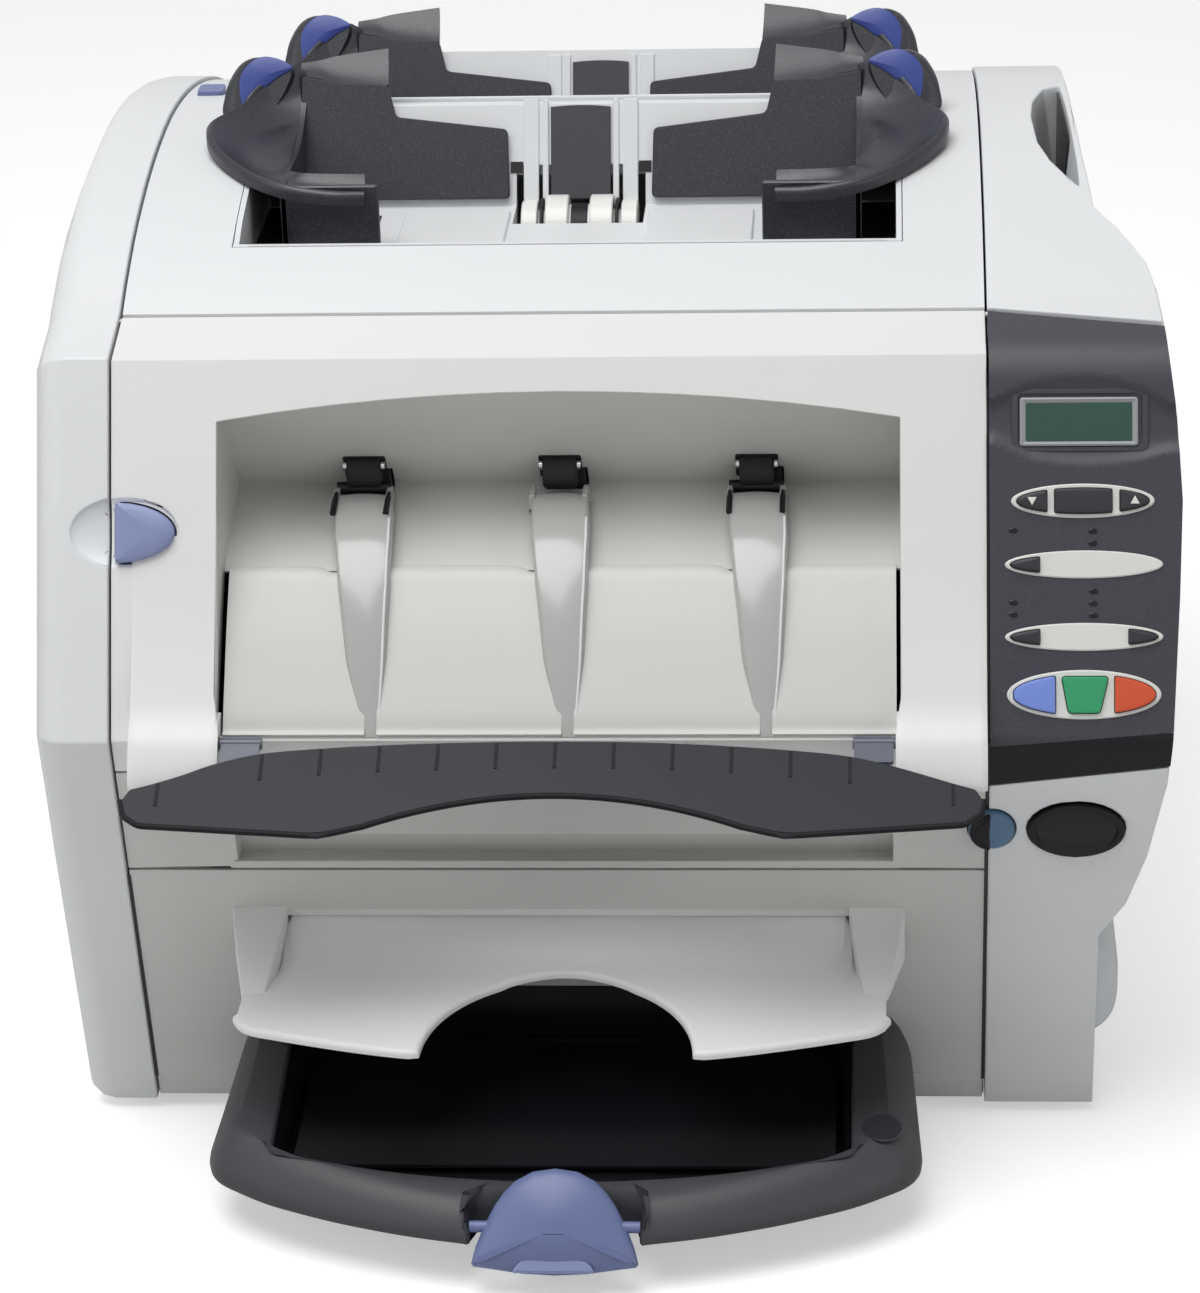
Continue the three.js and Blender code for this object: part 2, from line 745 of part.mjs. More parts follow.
function hopperGuide(shiftY, shiftZ, narrow) {
  const floorZ = noseHeight + wellFloorHeight + runGap;
  const edgeZ = floorZ + flangeTop;
  const wingPoints = wingTopShares.map(([across, up]) => v2(guideX * across, wingTop * up)).reverse();
  const wing = onDeck(
    [v2(guideX, wingLow), v2(guideX, wingTop), ...wingPoints, v2(guideWingInner, wingLow)],
    runGap, runGap + guideWall, 0, 0,
  );
  const flange = box(guideX - guideFlange, guideX, guideFrontY, guideFrontY + guideWall, floorZ, edgeZ);
  const sideTop = sideTopShares.map(([run, rise]) => {
    const point = guidePoint([1, run, rise]);
    return v2(point.y, point.z);
  });
  const side = alongX(
    [v2(guideFrontY, floorZ), v2(guideFrontY, edgeZ), ...sideTop, v2(deckFootY - guideWall, floorZ)],
    guideX - guideWall, guideX,
  );
  const bowl = guideSheet(rimShares, collarShares, 2 * arcSteps);
  const flare = guideSheet(flareRearShares, flareFrontShares, arcSteps);
  const cap = petalDisc(capPlaceShare, capWidth, capHeight, -petalThickness, capProud);
  let guide = wing;
  for (const piece of [flange, side, bowl, flare, cap]) guide = guide.add(piece);
  guide = guide.translate([-narrow, shiftY, shiftZ]);
  const reach = guideX - narrow + gap;
  const well = box(-reach, reach, wellFrontY + shiftY + wall, deckTopY + shiftY + wall, noseHeight, farUp);
  return guide.subtract(alongX(inset(outline, -runGap), -farBack, farBack).subtract(well));
}

// A half ellipse that stands at the rear of the guide's rim and leans back like the front face
function petalDisc(placeShare, width, height, fromOut, toOut) {
  const points = [];
  for (let i = 0; i <= arcSteps; i += 1) {
    const angle = Math.PI * i / arcSteps;
    points.push(v2(guideRimX * placeShare + width / 2 * Math.cos(angle), height * Math.sin(angle)));
  }
  const footZ = noseHeight + guideApexHeight - petalHeight * petalSunkShare;
  const foot = v3(0, deckTopY - petalForward, footZ);
  const matrix = faceMatrix();
  matrix.setPosition(foot.add(v3(0, -Math.cos(lean), Math.sin(lean)).multiplyScalar(fromOut)));
  return extruded(points, toOut - fromOut, matrix);
}

function guidePetal(shiftY, shiftZ, narrow) {
  const petal = petalDisc(petalPlaceShare, petalWidth, petalHeight, 0, petalThickness);
  return clearOf(petal.translate([-narrow, shiftY, shiftZ]), hopperGuide(shiftY, shiftZ, narrow));
}

// Top, rear, middle and lower covers
function topCover() {
  const low = noseHeight + creaseHeight / 2;
  const zone = box(fromX, toX, seamBack + seamGap / 2, rearSeamY, low, farUp);
  const cuts = [hopperCut(0, 0), hopperCut(insertShiftY, insertShiftZ), topButtonStem(gap)];
  let cover = bodyShell.intersect(zone);
  for (const cut of cuts) cover = cover.subtract(cut);
  return cover;
}

const louvreCount = 8;
const louvrePitch = 9;
const louvreHeight = 3;
const louvreHalf = 60;

function rearCover() {
  const zone = box(fromX, toX, rearSeamY + seamGap, bodyDepth + overrun, footHeight + pan + gap, farUp);
  let cover = bodyShell.intersect(zone);
  for (let i = 0; i < louvreCount; i += 1) {
    const z = noseHeight + i * louvrePitch;
    cover = cover.subtract(box(-louvreHalf, louvreHalf, rearSeamY, bodyDepth + overrun, z, z + louvreHeight));
  }
  return cover.subtract(inletBlock(gap)).subtract(switchBlock(gap));
}

const inletX = 90;
const inletWidth = 28;
const inletHeight = 22;
const inletZ = 34;
const switchWidth = 14;
const switchX = 128;
const rearBlockDepth = 24;
const rearBlockSunk = 2;
const rearBlockY = bodyDepth - rearBlockDepth - rearBlockSunk;
const inletPinHalf = 1;
const switchTurn = 16 * Math.PI / 180;
const inletPinShares = [0.25, 0.5, 0.75];

function rearBlock(x, width, room) {
  const end = rearBlockY + rearBlockDepth;
  return box(x - room, x + width + room, rearBlockY - room, end, inletZ - room, inletZ + inletHeight + room);
}

function inletBlock(room) {
  return rearBlock(inletX, inletWidth, room);
}

function switchBlock(room) {
  return rearBlock(switchX, switchWidth, room);
}

// A rocker that turns in its round seat, its two faces meeting in a shallow V
function powerSwitch() {
  const radius = inletHeight / 2 - gap;
  const half = switchTurn / 2;
  const pivotY = rearBlockY + rearBlockDepth - radius;
  const points = [];
  for (let i = 0; i <= arcSteps; i += 1) {
    const angle = Math.PI * (1 / 2 + i / arcSteps);
    points.push(v2(radius * Math.cos(angle), radius * Math.sin(angle)));
  }
  const outY = radius * Math.cos(Math.PI / 4);
  points.push(v2(outY, -outY), v2(outY * (1 - Math.tan(half)), 0), v2(outY, outY));
  const turned = points.map((point) => point.rotateAround(v2(0, 0), half));
  const middle = v2(pivotY, inletZ + inletHeight / 2);
  return alongX(turned.map((point) => point.add(middle)), switchX, switchX + switchWidth);
}

function powerInlet() {
  const half = rearBlockY + rearBlockDepth / 2;
  const topZ = inletZ + inletHeight;
  const midZ = inletZ + inletHeight / 2;
  const farX = inletX + inletWidth;
  const cavity = box(
    inletX + thinWall, farX - thinWall, half, bodyDepth + overrun, inletZ + thinWall, topZ - thinWall,
  );
  let inlet = inletBlock(0).subtract(cavity);
  for (const share of inletPinShares) {
    const x = inletX + inletWidth * share;
    const tall = 2 * inletPinHalf;
    inlet = inlet.add(box(
      x - inletPinHalf, x + inletPinHalf, half - inletPinHalf, bodyDepth - overrun, midZ - tall, midZ + tall,
    ));
  }
  return inlet;
}

function middleCover() {
  const low = noseHeight - gripBottom;
  const top = noseHeight - gripTop;
  const zone = box(
    fromX, toX, -overrun, undercut, noseHeight - middleDrop + seamGap / 2, noseHeight - doorSkirt - seamGap,
  );
  const skinY = frontSkin(gripBottom);
  const backY = skinY + gripDepth;
  const half = gripHalfWidth;
  const pocket = box(-half - wall, half + wall, skinY, backY + wall, low - wall, top + wall);
  const recess = box(-half, half, -overrun, backY, low, top);
  return bodyShell.intersect(zone).add(pocket).subtract(recess).subtract(latchBore(gap));
}

function lowerCover() {
  const zone = box(fromX, toX, -overrun, undercut + wall + gap / 2, 0, noseHeight - middleDrop - seamGap / 2);
  const shelfLow = shelfFloor - shelfThickness - gap;
  const shelfTop = shelfRoof + shelfThickness + gap;
  const shelfHole = box(-cheekOuter - gap, cheekOuter + gap, -overrun, 2 * undercut, shelfLow, shelfTop);
  const trayLow = trayLip - gap;
  const trayTop = trayBackTop + trayHoleRoom;
  const trayHole = box(-trayFrontHalf, trayFrontHalf, -overrun, 2 * undercut, trayLow, trayTop);
  return bodyShell.intersect(zone).subtract(shelfHole).subtract(trayHole);
}

// Front door with its feet, exit chute, apron, fingers and rollers
const footShares = [
  [0.4, 0.7], [-0.12, 0.68], [-0.53, 0.27], [-0.82, -0.3],
  [-1, -0.7], [-0.94, -1], [-0.47, -0.96], [0.4, -0.77],
];

const doorHinge = rel(
  seamBack - seamGap / 2 - hingeRadius,
  seamHeight - hingeRadius * (1 + (seamHeight - creaseHeight) / (seamBack - creaseBack)),
);

function doorFoot(side) {
  const points = footShares.map(([out, up]) => rel(doorFootForward * out, doorFootDrop * up));
  const x0 = footOuterX - doorFootWidth;
  const foot = alongX(points, x0, footOuterX);
  const bore = rod(x0 - overrun, x0 + overrun, flapPinY, noseHeight + flapPinZ, flapPinRadius + gap);
  const seated = foot.subtract(bore).subtract(alongX(inset(outline, wall), -farBack, farBack));
  return side > 0 ? seated : mirrored(seated);
}

function exitOutline(room) {
  const half = exitHalfWidth + room;
  const points = [v2(-half, exitSill - room), v2(half, exitSill - room)];
  for (let i = 0; i <= arcSteps; i += 1) {
    const share = 1 - 2 * i / arcSteps;
    const rise = (exitMidHeight - exitSideHeight) * (1 - share * share);
    points.push(v2(half * share, exitSideHeight + room + rise));
  }
  return points;
}

// The button is flat on the seam side and round on the other
function buttonOutline(room) {
  const left = leftSeamX + thinWall;
  const half = doorButtonHeight / 2 + room;
  const points = [v2(left - room, doorButtonSlope + half), v2(left - room, doorButtonSlope - half)];
  for (let i = 0; i <= arcSteps; i += 1) {
    const angle = Math.PI * (i / arcSteps - 1 / 2);
    const x = left + doorButtonWidth / 2 + (doorButtonWidth / 2 + room) * Math.cos(angle);
    points.push(v2(x, doorButtonSlope + half * Math.sin(angle)));
  }
  return points;
}

// The dish round the button, a flattened ball let into the door and the left cover
function buttonDish(level, depth) {
  const geometry = new THREE.SphereGeometry(1, 2 * roundSteps, roundSteps);
  const middle = facePoint(doorButtonSlope, level);
  geometry.scale(dishHalfWidth, dishHalfHeight, depth);
  geometry.applyMatrix4(faceMatrix().setPosition(leftSeamX + dishOffSeam, middle.x, middle.y));
  return toSolid(geometry);
}

function frontDoor() {
  const zone = box(fromX, toX, -overrun, doorHinge.x, noseHeight - doorSkirt, farUp);
  const opening = onFace(exitOutline(0), -creaseBack, 2 * overrun);
  const buttonHole = onFace(buttonOutline(gap), -2 * overrun, overrun);
  const dish = buttonDish(gap, dishShallow + gap);
  const panel = bodyShell.intersect(zone).subtract(opening).subtract(buttonHole).subtract(dish);
  const edge = rod(fromX, toX, doorHinge.x, doorHinge.y, hingeRadius);
  return panel.add(edge).add(hingePin(0)).add(doorFoot(1)).add(doorFoot(-1));
}

// The pin on which the door swings, a rod along its rolled top edge
function hingePin(room) {
  const radius = hingePinRadius + room;
  return rod(fromX - hingePinLength - room, toX + hingePinLength + room, doorHinge.x, doorHinge.y, radius);
}

function doorButton() {
  const flange = onFace(buttonOutline(thinWall - gap), -wall - gap - thinWall, -wall - gap);
  return onFace(buttonOutline(0), -wall - thinWall, doorButtonProud, doorButtonRound).add(flange);
}

function facePoint(up, out) {
  return rel(up * Math.sin(lean) - out * Math.cos(lean), up * Math.cos(lean) + out * Math.sin(lean));
}

const apronFoot = facePoint(exitSill, -wall - gap);
const apronTop = rel(apronTopBack, apronTopHeight);
const exitCrease = rel(exitFloorBack, exitFloorHeight);
const hoodTop = facePoint(exitMidHeight, -wall - gap);

function chamberOutline() {
  return [apronFoot, apronTop, exitCrease, hoodTop];
}

const exitShaft = rel(exitFloorBack + exitShaftBehind, exitFloorHeight + exitShaftAbove);

function exitChute() {
  const halfOuter = exitHalfWidth + thinWall;
  const shell = alongX(inset(chamberOutline(), -thinWall), -halfOuter, halfOuter);
  const outside = [facePoint(exitMidHeight, overrun), facePoint(exitSill, overrun)];
  const air = alongX([...chamberOutline(), ...outside], -exitHalfWidth, exitHalfWidth);
  const front = onFace(rectangle(-farBack, farBack, -farBack, farBack), -wall - gap, farBack);
  const down = v2(overrun, -overrun);
  const low = apronFoot.clone();
  const apronRoom = alongX(
    [low.clone().sub(down), low.clone().add(down), apronTop.clone().add(down), apronTop],
    -exitHalfWidth, exitHalfWidth,
  );
  let chute = shell.subtract(air).subtract(front).subtract(apronRoom).intersect(insideSkin());
  for (const x of [-halfOuter, exitHalfWidth]) {
    chute = chute.add(rod(x, x + thinWall, exitShaft.x, exitShaft.y, exitLugRadius));
  }
  chute = chute.subtract(rod(-farBack, farBack, exitShaft.x, exitShaft.y, exitShaftRadius + gap));
  const half = exitRollerWidth / 2 + runGap;
  for (const x of rollerPlaces()) {
    chute = chute.subtract(rod(x - half, x + half, exitShaft.x, exitShaft.y, exitRollerRadius + windowRoom));
  }
  return chute;
}

function rollerPlaces() {
  return [-fingerPitch, 0, fingerPitch];
}

function exitApron() {
  const along = apronTop.clone().sub(apronFoot).normalize();
  const under = v2(along.y, -along.x).multiplyScalar(thinWall);
  const start = apronFoot.clone().add(along.clone().multiplyScalar(gap));
  const end = apronTop.clone().sub(along.clone().multiplyScalar(gap));
  const half = exitHalfWidth - gap;
  const sheet = alongX([start, start.clone().add(under), end.clone().add(under), end], -half, half);
  return sheet.intersect(insideSkin());
}

// The room inside the body's skin
function insideSkin() {
  return alongX(inset(outline, wall + gap), -farBack, farBack);
}

const fingerShares = [
  [0, 0.04], [0.44, 0.505], [0.89, 0.64], [0.89, 0.67],
  [0.66, 0.67], [0.44, 0.61], [0.24, 0.38], [0.01, 0.075],
];

function exitFinger(x) {
  const points = fingerShares.map(([back, up]) => rel(apronFoot.x + back * exitFloorBack, up * fingerHeight));
  const side = alongX(points, x - fingerTopWidth, x + fingerTopWidth);
  const front = alongY([
    rel(x - fingerTipWidth / 2, 0), rel(x + fingerTipWidth / 2, 0),
    rel(x + fingerTopWidth / 2, exitFloorHeight), rel(x - fingerTopWidth / 2, exitFloorHeight),
  ], -farBack, farBack);
  return side.intersect(front);
}

function exitRollers() {
  const half = exitHalfWidth + thinWall;
  let shaft = rod(-half, half, exitShaft.x, exitShaft.y, exitShaftRadius);
  for (const place of rollerPlaces()) {
    const x = place - exitRollerWidth / 2;
    shaft = shaft.add(rod(x, x + exitRollerWidth, exitShaft.x, exitShaft.y, exitRollerRadius));
  }
  return shaft;
}

// Smoked flap: x across, y down its slope from the back edge
function flapOutline() {
  const back = [];
  for (let i = 0; i <= 2 * arcSteps; i += 1) {
    const share = i / arcSteps - 1;
    back.push(v2(flapShift + flapHalfWidth * share, flapArc * share * share));
  }
  const front = [];
  for (let i = 0; i <= arcSteps; i += 1) {
    const share = 1 - 2 * i / arcSteps;
    front.push(v2(flapArchHalf * share, flapDepth + (flapArchDepth - flapDepth) * share * share));
  }
  const tip = (side) => v2(side * flapTipX, flapTipDepth);
  const end = (side) => v2(flapShift + side * (flapHalfWidth + flapEndOut), flapEndDepth);
  return [...back, end(1), tip(1), ...front, tip(-1), end(-1)];
}

function exitFlap() {
  const down = v3(0, -Math.cos(flapTilt), -Math.sin(flapTilt));
  const matrix = new THREE.Matrix4().makeBasis(v3(1, 0, 0), down, v3(0, -down.z, down.y));
  matrix.setPosition(0, flapBack, noseHeight + flapUp);
  let flap = extruded(flapOutline(), flapThickness, matrix);
  const inner = flapPinX - flapPinLength;
  const outer = footOuterX - doorFootWidth - runGap;
  const arm = extruded(rectangle(inner, outer, -1, flapArc), flapThickness, matrix);
  const pin = rod(inner, outer + runGap + flapPinDeep, flapPinY, noseHeight + flapPinZ, flapPinRadius);
  for (const piece of [arm, pin]) flap = flap.add(piece).add(mirrored(piece));
  return flap;
}

// Manual shelf
function manualShelf() {
  const z = shelfFloor;
  const roof = shelfRoof;
  const top = roof + shelfThickness;
  const skinY = frontSkin(noseHeight - roof);
  const floor = alongZ(shelfPlan(), z - shelfThickness, z);
  const outer = box(-cheekOuter, cheekOuter, skinY, shelfBackY, z - shelfThickness, top);
  const inner = box(-cheekInner, cheekInner, -farBack, shelfBackY - wall, z, roof);
  const cheek = alongX(
    [v2(skinY + wall, z - gap), v2(skinY + wall, top), v2(skinY, top), v2(-shelfForward / 2, z - gap)],
    cheekInner, shelfHalfWidth,
  );
  let shelf = outer.subtract(inner).add(floor).add(cheek).add(mirrored(cheek));
  const pitch = 2 * cheekInner / (shelfRibs + 1);
  const ribY = skinY + runGap;
  const ribBack = ribY + shelfRibRun;
  for (let i = 1; i <= shelfRibs; i += 1) {
    const x = -cheekInner + i * pitch - shelfRibWidth / 2;
    const rib = [v2(ribY, top), v2(ribY, roof - shelfRibDrop), v2(ribBack, roof - runGap), v2(ribBack, top)];
    shelf = shelf.add(alongX(rib, x, x + shelfRibWidth));
  }
  return shelf;
}

// The shelf seen from above, its front edge cut by an arch for the hand
function shelfPlan() {
  const plan = [
    v2(-shelfHalfWidth, shelfBackY), v2(-shelfHalfWidth, -shelfForward), v2(-shelfTipHalf, -shelfTipForward),
  ];
  for (let i = 1; i < 2 * arcSteps; i += 1) {
    const share = i / arcSteps - 1;
    plan.push(v2(shelfTipHalf * share, -shelfTipForward * (1 - Math.sqrt(1 - share * share))));
  }
  const side = [v2(shelfTipHalf, -shelfTipForward), v2(shelfHalfWidth, -shelfForward)];
  return [...plan, ...side, v2(shelfHalfWidth, shelfBackY)];
}

// Sheet tray, its paper plate and its tongue
const trayShoulder = 60;
const cornerShare = 0.93;
const trayFloorZ = trayLip + wall;

function trayPlan(half, frontHalf, frontY, shoulderY, bow) {
  const points = [v2(half, trayBackY), v2(-half, trayBackY), v2(-frontHalf, -shoulderY + bow)];
  for (let i = 0; i <= arcSteps; i += 1) {
    const share = 2 * i / arcSteps - 1;
    points.push(v2(frontHalf * cornerShare * share, -shoulderY - (frontY - shoulderY) * (1 - share * share)));
  }
  points.push(v2(frontHalf, -shoulderY + bow));
  return points;
}

function sheetTray() {
  const bowY = trayForward + trayBow;
  const body = alongZ(trayPlan(trayBackHalf, trayFrontHalf, bowY, trayShoulder, traySideBow), 0, noseHeight);
  const back = trayBackY + overrun;
  const front = -bowY;
  const side = alongX([
    v2(front, trayLip), v2(back, trayLip),
    v2(back, trayBackTop + traySideRim), v2(front, trayFrontTop - traySideRim),
  ], -farBack, farBack);
  const half = trayPocketHalf;
  const pocketFront = bowY - trayFrontRim;
  const pocketPlan = trayPlan(half, half, pocketFront, pocketFront - traySideBow, trayPocketBow);
  const pocket = alongZ(pocketPlan, 0, noseHeight);
  const floorBack = trayFloorZ + trayFloorRise;
  const air = alongX(
    [v2(front, trayFloorZ), v2(back, floorBack), rel(back, overrun), rel(front, overrun)],
    -farBack, farBack,
  );
  const notch = box(-notchHalf, notchHalf, front - overrun, -trayForward + notchDepth, 0, noseHeight);
  return body.intersect(side).subtract(pocket.intersect(air)).subtract(notch).subtract(tonguePin(gap));
}

function tonguePin(room) {
  const half = notchHalf + tonguePinDeep + room;
  return rod(-half, half, tonguePinY, tonguePinZ, tonguePinRadius + room);
}

const tongueLean = Math.atan2(tongueLeanRun, tongueLeanRise);

function trayTongue() {
  const up = v3(0, Math.sin(tongueLean), Math.cos(tongueLean));
  const matrix = new THREE.Matrix4().makeBasis(v3(1, 0, 0), up, v3(0, -up.z, up.y));
  matrix.setPosition(0, tongueFootY, tongueFootZ);
  const points = [];
  for (let i = 0; i <= arcSteps; i += 1) {
    const angle = Math.PI * i / arcSteps;
    points.push(v2(tongueHalf * Math.cos(angle), tongueHeight * Math.sin(angle)));
  }
  const scoop = ellipse(0, 0, scoopHalf, scoopHeight);
  const face = extruded(points, tongueThickness, matrix);
  return face.subtract(extruded(scoop, 2 * tongueThickness, matrix)).add(tonguePin(0));
}

function paperPlate() {
  const back = trayBackY + overrun;
  const run = back + trayForward + trayBow;
  const floorAt = (y) => v2(y, trayFloorZ + trayFloorRise * (y - back + run) / run + gap);
  const ends = [floorAt(plateFrontY), floorAt(plateBackY)];
  const tops = ends.map((end) => end.clone().add(v2(0, plateSheet))).reverse();
  return alongX([...ends, ...tops], -plateHalf, plateHalf);
}

// Control panel
const lowKeyShare = 0.8;
const keySpecs = [
  ['key_down', keyMid - menuKeyOff, menuHeight, smallKeyWidth, smallKeyHeight],
  ['key_menu', keyMid, menuHeight, wideKeyWidth, smallKeyHeight],
  ['key_up', keyMid + menuKeyOff, menuHeight, smallKeyWidth, smallKeyHeight],
  ['key_feeder', keyMid - sideKeyOff, feederHeight, smallKeyWidth, smallKeyHeight * lowKeyShare],
  ['key_seal', keyMid - sideKeyOff, sealHeight, smallKeyWidth, smallKeyHeight * lowKeyShare],
  ['key_fold', keyMid + sideKeyOff, sealHeight, smallKeyWidth, smallKeyHeight * lowKeyShare],
  ['key_trial', keyMid - startKeyOff, startHeight, largeKeyWidth, largeKeyHeight * lowKeyShare],
  ['key_start', keyMid, startHeight, largeKeyWidth + startKeyExtra, largeKeyHeight],
  ['key_stop', keyMid + startKeyOff, startHeight, largeKeyWidth, largeKeyHeight * lowKeyShare],
];

function keyCap([, x, y, width, height], room) {
  const reachX = width / 2 + room;
  const reachY = height / 2 + room;
  const points = roundedRect(x - reachX, x + reachX, y - reachY, y + reachY, thinWall);
  if (room > 0) return onFace(points, -2 * panelThickness, overrun);
  return onFace(points, -panelThickness + keyTravel, sideProud + keyProud);
}

function displayBlock(room) {
  const reachX = displayWidth / 2 + room;
  const reachY = displayHeight / 2 + room;
  const points = rectangle(displayX - reachX, displayX + reachX, displayMid - reachY, displayMid + reachY);
  return onFace(points, -panelThickness / 2 - room, room > 0 ? overrun : sideProud - displaySunk);
}

function controlPanel() {
  let panel = panelBlank(0).subtract(displayBlock(gap)).subtract(hingePin(gap));
  for (const spec of keySpecs) panel = panel.subtract(keyCap(spec, gap));
  return panel;
}

// Small pieces on the covers
function latchBore(room) {
  const y = frontSkin(latchDrop);
  const radius = latchRadius + room;
  const circle = ellipse(rightSeamX + latchOffSeam, noseHeight - latchDrop, radius, radius);
  return alongY(circle, y - overrun - room, y + latchLength + room);
}

function sideLatch() {
  const y = frontSkin(latchDrop);
  const x = rightSeamX + latchOffSeam;
  const z = noseHeight - latchDrop;
  const zone = box(-farBack, farBack, y - latchProud, y + latchLength, 0, farUp);
  const tall = latchGrooveHalf;
  const grip = box(
    x - latchGroove, x + latchGroove, y - overrun, y - latchProud + latchGroove, z - tall, z + tall,
  );
  return latchBore(0).intersect(zone).subtract(grip);
}

function windowPlate(room) {
  const y = frontSkin(latchDrop) - sideProud + gap;
  const shape = ellipse(windowX, noseHeight - latchDrop, windowRadius + room, windowTall + room);
  return alongY(shape, room > 0 ? -overrun : y, y + windowDepth + room);
}

function topButtonPlan(room) {
  const half = topButtonWidth / 2 + room;
  return roundedRect(topButtonX - half, topButtonX + half, topButtonY - half, topButtonY + half, thinWall);
}

function topButtonStem(room) {
  const z = noseHeight + topButtonZ;
  return alongZ(topButtonPlan(room), z - topButtonDeep, z + topButtonProud);
}

function topButton() {
  const low = noseHeight + topButtonZ - topButtonDeep;
  return topButtonStem(0).add(alongZ(topButtonPlan(topButtonFlange), low, low + 2 * topButtonFlange));
}

function bottleShape(room) {
  const x0 = rightSeamX + rightBaseWidth - bottleIn - room;
  const x1 = rightSeamX + rightBaseWidth + bottleOut + room;
  const half = bottleHeight / 2 + room;
  const z = bottleZ;
  const y0 = bottleFrontY - room;
  const y1 = bottleFrontY + bottleLength + room;
  const round = bottleHeight / 3;
  const section = roundedRect(x0, x1, z - half, z + half, round);
  const plan = roundedRect(x0, x1, y0, y1, round);
  return alongY(section, y0, y1).intersect(alongZ(plan, 0, noseHeight));
}

function bottleBay() {
  return bottleShape(runGap);
}

// Carcass
const plateLeftX = leftSeamX + sidePlateOff;
const plateRightX = rightSeamX - sidePlateOff;
const foldAxis = rel(foldRollerBack, foldRollerUp);
const panFrontY = undercut + wall + gap;
const panBackY = bodyDepth - rearLean - hingeRadius;

function basePan() {
  const room = gap - seamGap / 2;
  return box(leftSeamX + room, rightSeamX - room, panFrontY, panBackY, footHeight, footHeight + pan);
}

function sidePlate(x) {
  const end = x + plateThickness;
  const sheet = alongX(inset(outline, plateInset), x, end);
  const foot = box(x, end, panFrontY, bodyDepth - 4 * plateInset, footHeight + pan, noseHeight / 3);
  const bore = rod(x - overrun, end + overrun, foldAxis.x, foldAxis.y, foldShaftRadius + gap);
  let plate = sheet.add(foot).subtract(bore);
  for (const [backShare, upShare] of [[0.75, 0.6], [0.42, 0.5]]) {
    const [y, z] = [bodyDepth * backShare, noseHeight * upShare];
    plate = plate.subtract(rod(x - overrun, end + overrun, y, z, plateHoleRadius));
  }
  const room = gap + topButtonFlange;
  const buttonLow = noseHeight + topButtonZ - topButtonDeep - topButtonTravel - gap;
  return plate.subtract(alongZ(topButtonPlan(room), buttonLow, farUp));
}

function foldUnit() {
  const x0 = plateLeftX + plateThickness + gap;
  const x1 = plateRightX - gap;
  const front = foldAxis.x + foldRollerRadius + foldUnitRoom;
  const profile = [
    v2(front, foldUnitLow), v2(foldUnitBack, foldUnitLow), v2(foldUnitBack, foldUnitTop),
    v2(front + foldUnitSlope, foldUnitTop), v2(front, foldUnitTop - foldUnitSlope),
  ];
  const inside = alongX(inset(profile, foldUnitWall), x0 + foldUnitWall, x1 - foldUnitWall);
  const backDoor = box(
    x0 + foldUnitRoom, x1 - foldUnitRoom, foldUnitBack - foldUnitRoom, foldUnitBack + overrun,
    foldUnitLow + foldUnitRoom, foldUnitTop - foldUnitRoom,
  );
  return alongX(profile, x0, x1).subtract(inside).subtract(backDoor);
}

function foldRoller() {
  const x0 = plateLeftX + plateThickness;
  const x1 = plateRightX;
  const shaft = rod(x0 - plateThickness, x1 + plateThickness, foldAxis.x, foldAxis.y, foldShaftRadius);
  return shaft.add(rod(x0 + runGap, x1 - runGap, foldAxis.x, foldAxis.y, foldRollerRadius));
}

function rubberFoot(x, y) {
  const geometry = new THREE.CylinderGeometry(footRadius, footRadius - runGap, footHeight, roundSteps);
  geometry.rotateX(Math.PI / 2);
  geometry.translate(x, y, footHeight / 2);
  return toSolid(geometry);
}

// Materials
const satin = 0.5;
const metalSheen = 0.35;
const glossy = 0.2;

function plastic(color, roughness = satin) {
  return new THREE.MeshStandardMaterial({ color, roughness, metalness: 0 });
}

function metal(color, roughness = metalSheen) {
  return new THREE.MeshStandardMaterial({ color, roughness, metalness: 1 });
}

const white = () => plastic(0xe6e7e6);
const beige = () => plastic(0xd8d6cd);
const darkPlastic = () => plastic(0x3e3e46);
const bluePlastic = () => plastic(0x7080b4, metalSheen);
const petalBlue = () => plastic(0x405096, metalSheen);
const blackRubber = () => plastic(0x151517, 1);
const steel = () => metal(0xb8bcc0);

function smoked() {
  return new THREE.MeshStandardMaterial({
    color: 0x464854, roughness: glossy, metalness: 0, transparent: true, opacity: 1 - glossy,
  });
}

// The scene graph
const machine = new THREE.Group();

function place(name, solid, material) {
  const mesh = new THREE.Mesh(toGeometry(solid), material);
  mesh.name = name;
  machine.add(mesh);
}

place('base_pan', basePan(), steel());
place('side_plate_left', sidePlate(plateLeftX), steel());
place('side_plate_right', sidePlate(plateRightX), steel());
place('fold_unit', foldUnit(), darkPlastic());
place('fold_roller', foldRoller(), blackRubber());
place('left_side_cover', leftSideCover(), white());
place('right_side_cover', rightSideCover(), white());
place('top_cover', topCover(), white());
place('rear_cover', rearCover(), white());
place('front_door', frontDoor(), beige());
place('exit_chute', exitChute(), beige());
place('exit_apron', exitApron(), beige());
place('exit_rollers', exitRollers(), blackRubber());
rollerPlaces().forEach((x, i) => place(`exit_finger_${i + 1}`, exitFinger(x), white()));
place('exit_flap', exitFlap(), smoked());
place('door_button', doorButton(), bluePlastic());
place('middle_cover', middleCover(), beige());
place('lower_cover', lowerCover(), beige());
place('manual_shelf', manualShelf(), beige());
place('sheet_tray', sheetTray(), darkPlastic());
place('paper_plate', paperPlate(), darkPlastic());
place('tray_tongue', trayTongue(), bluePlastic());

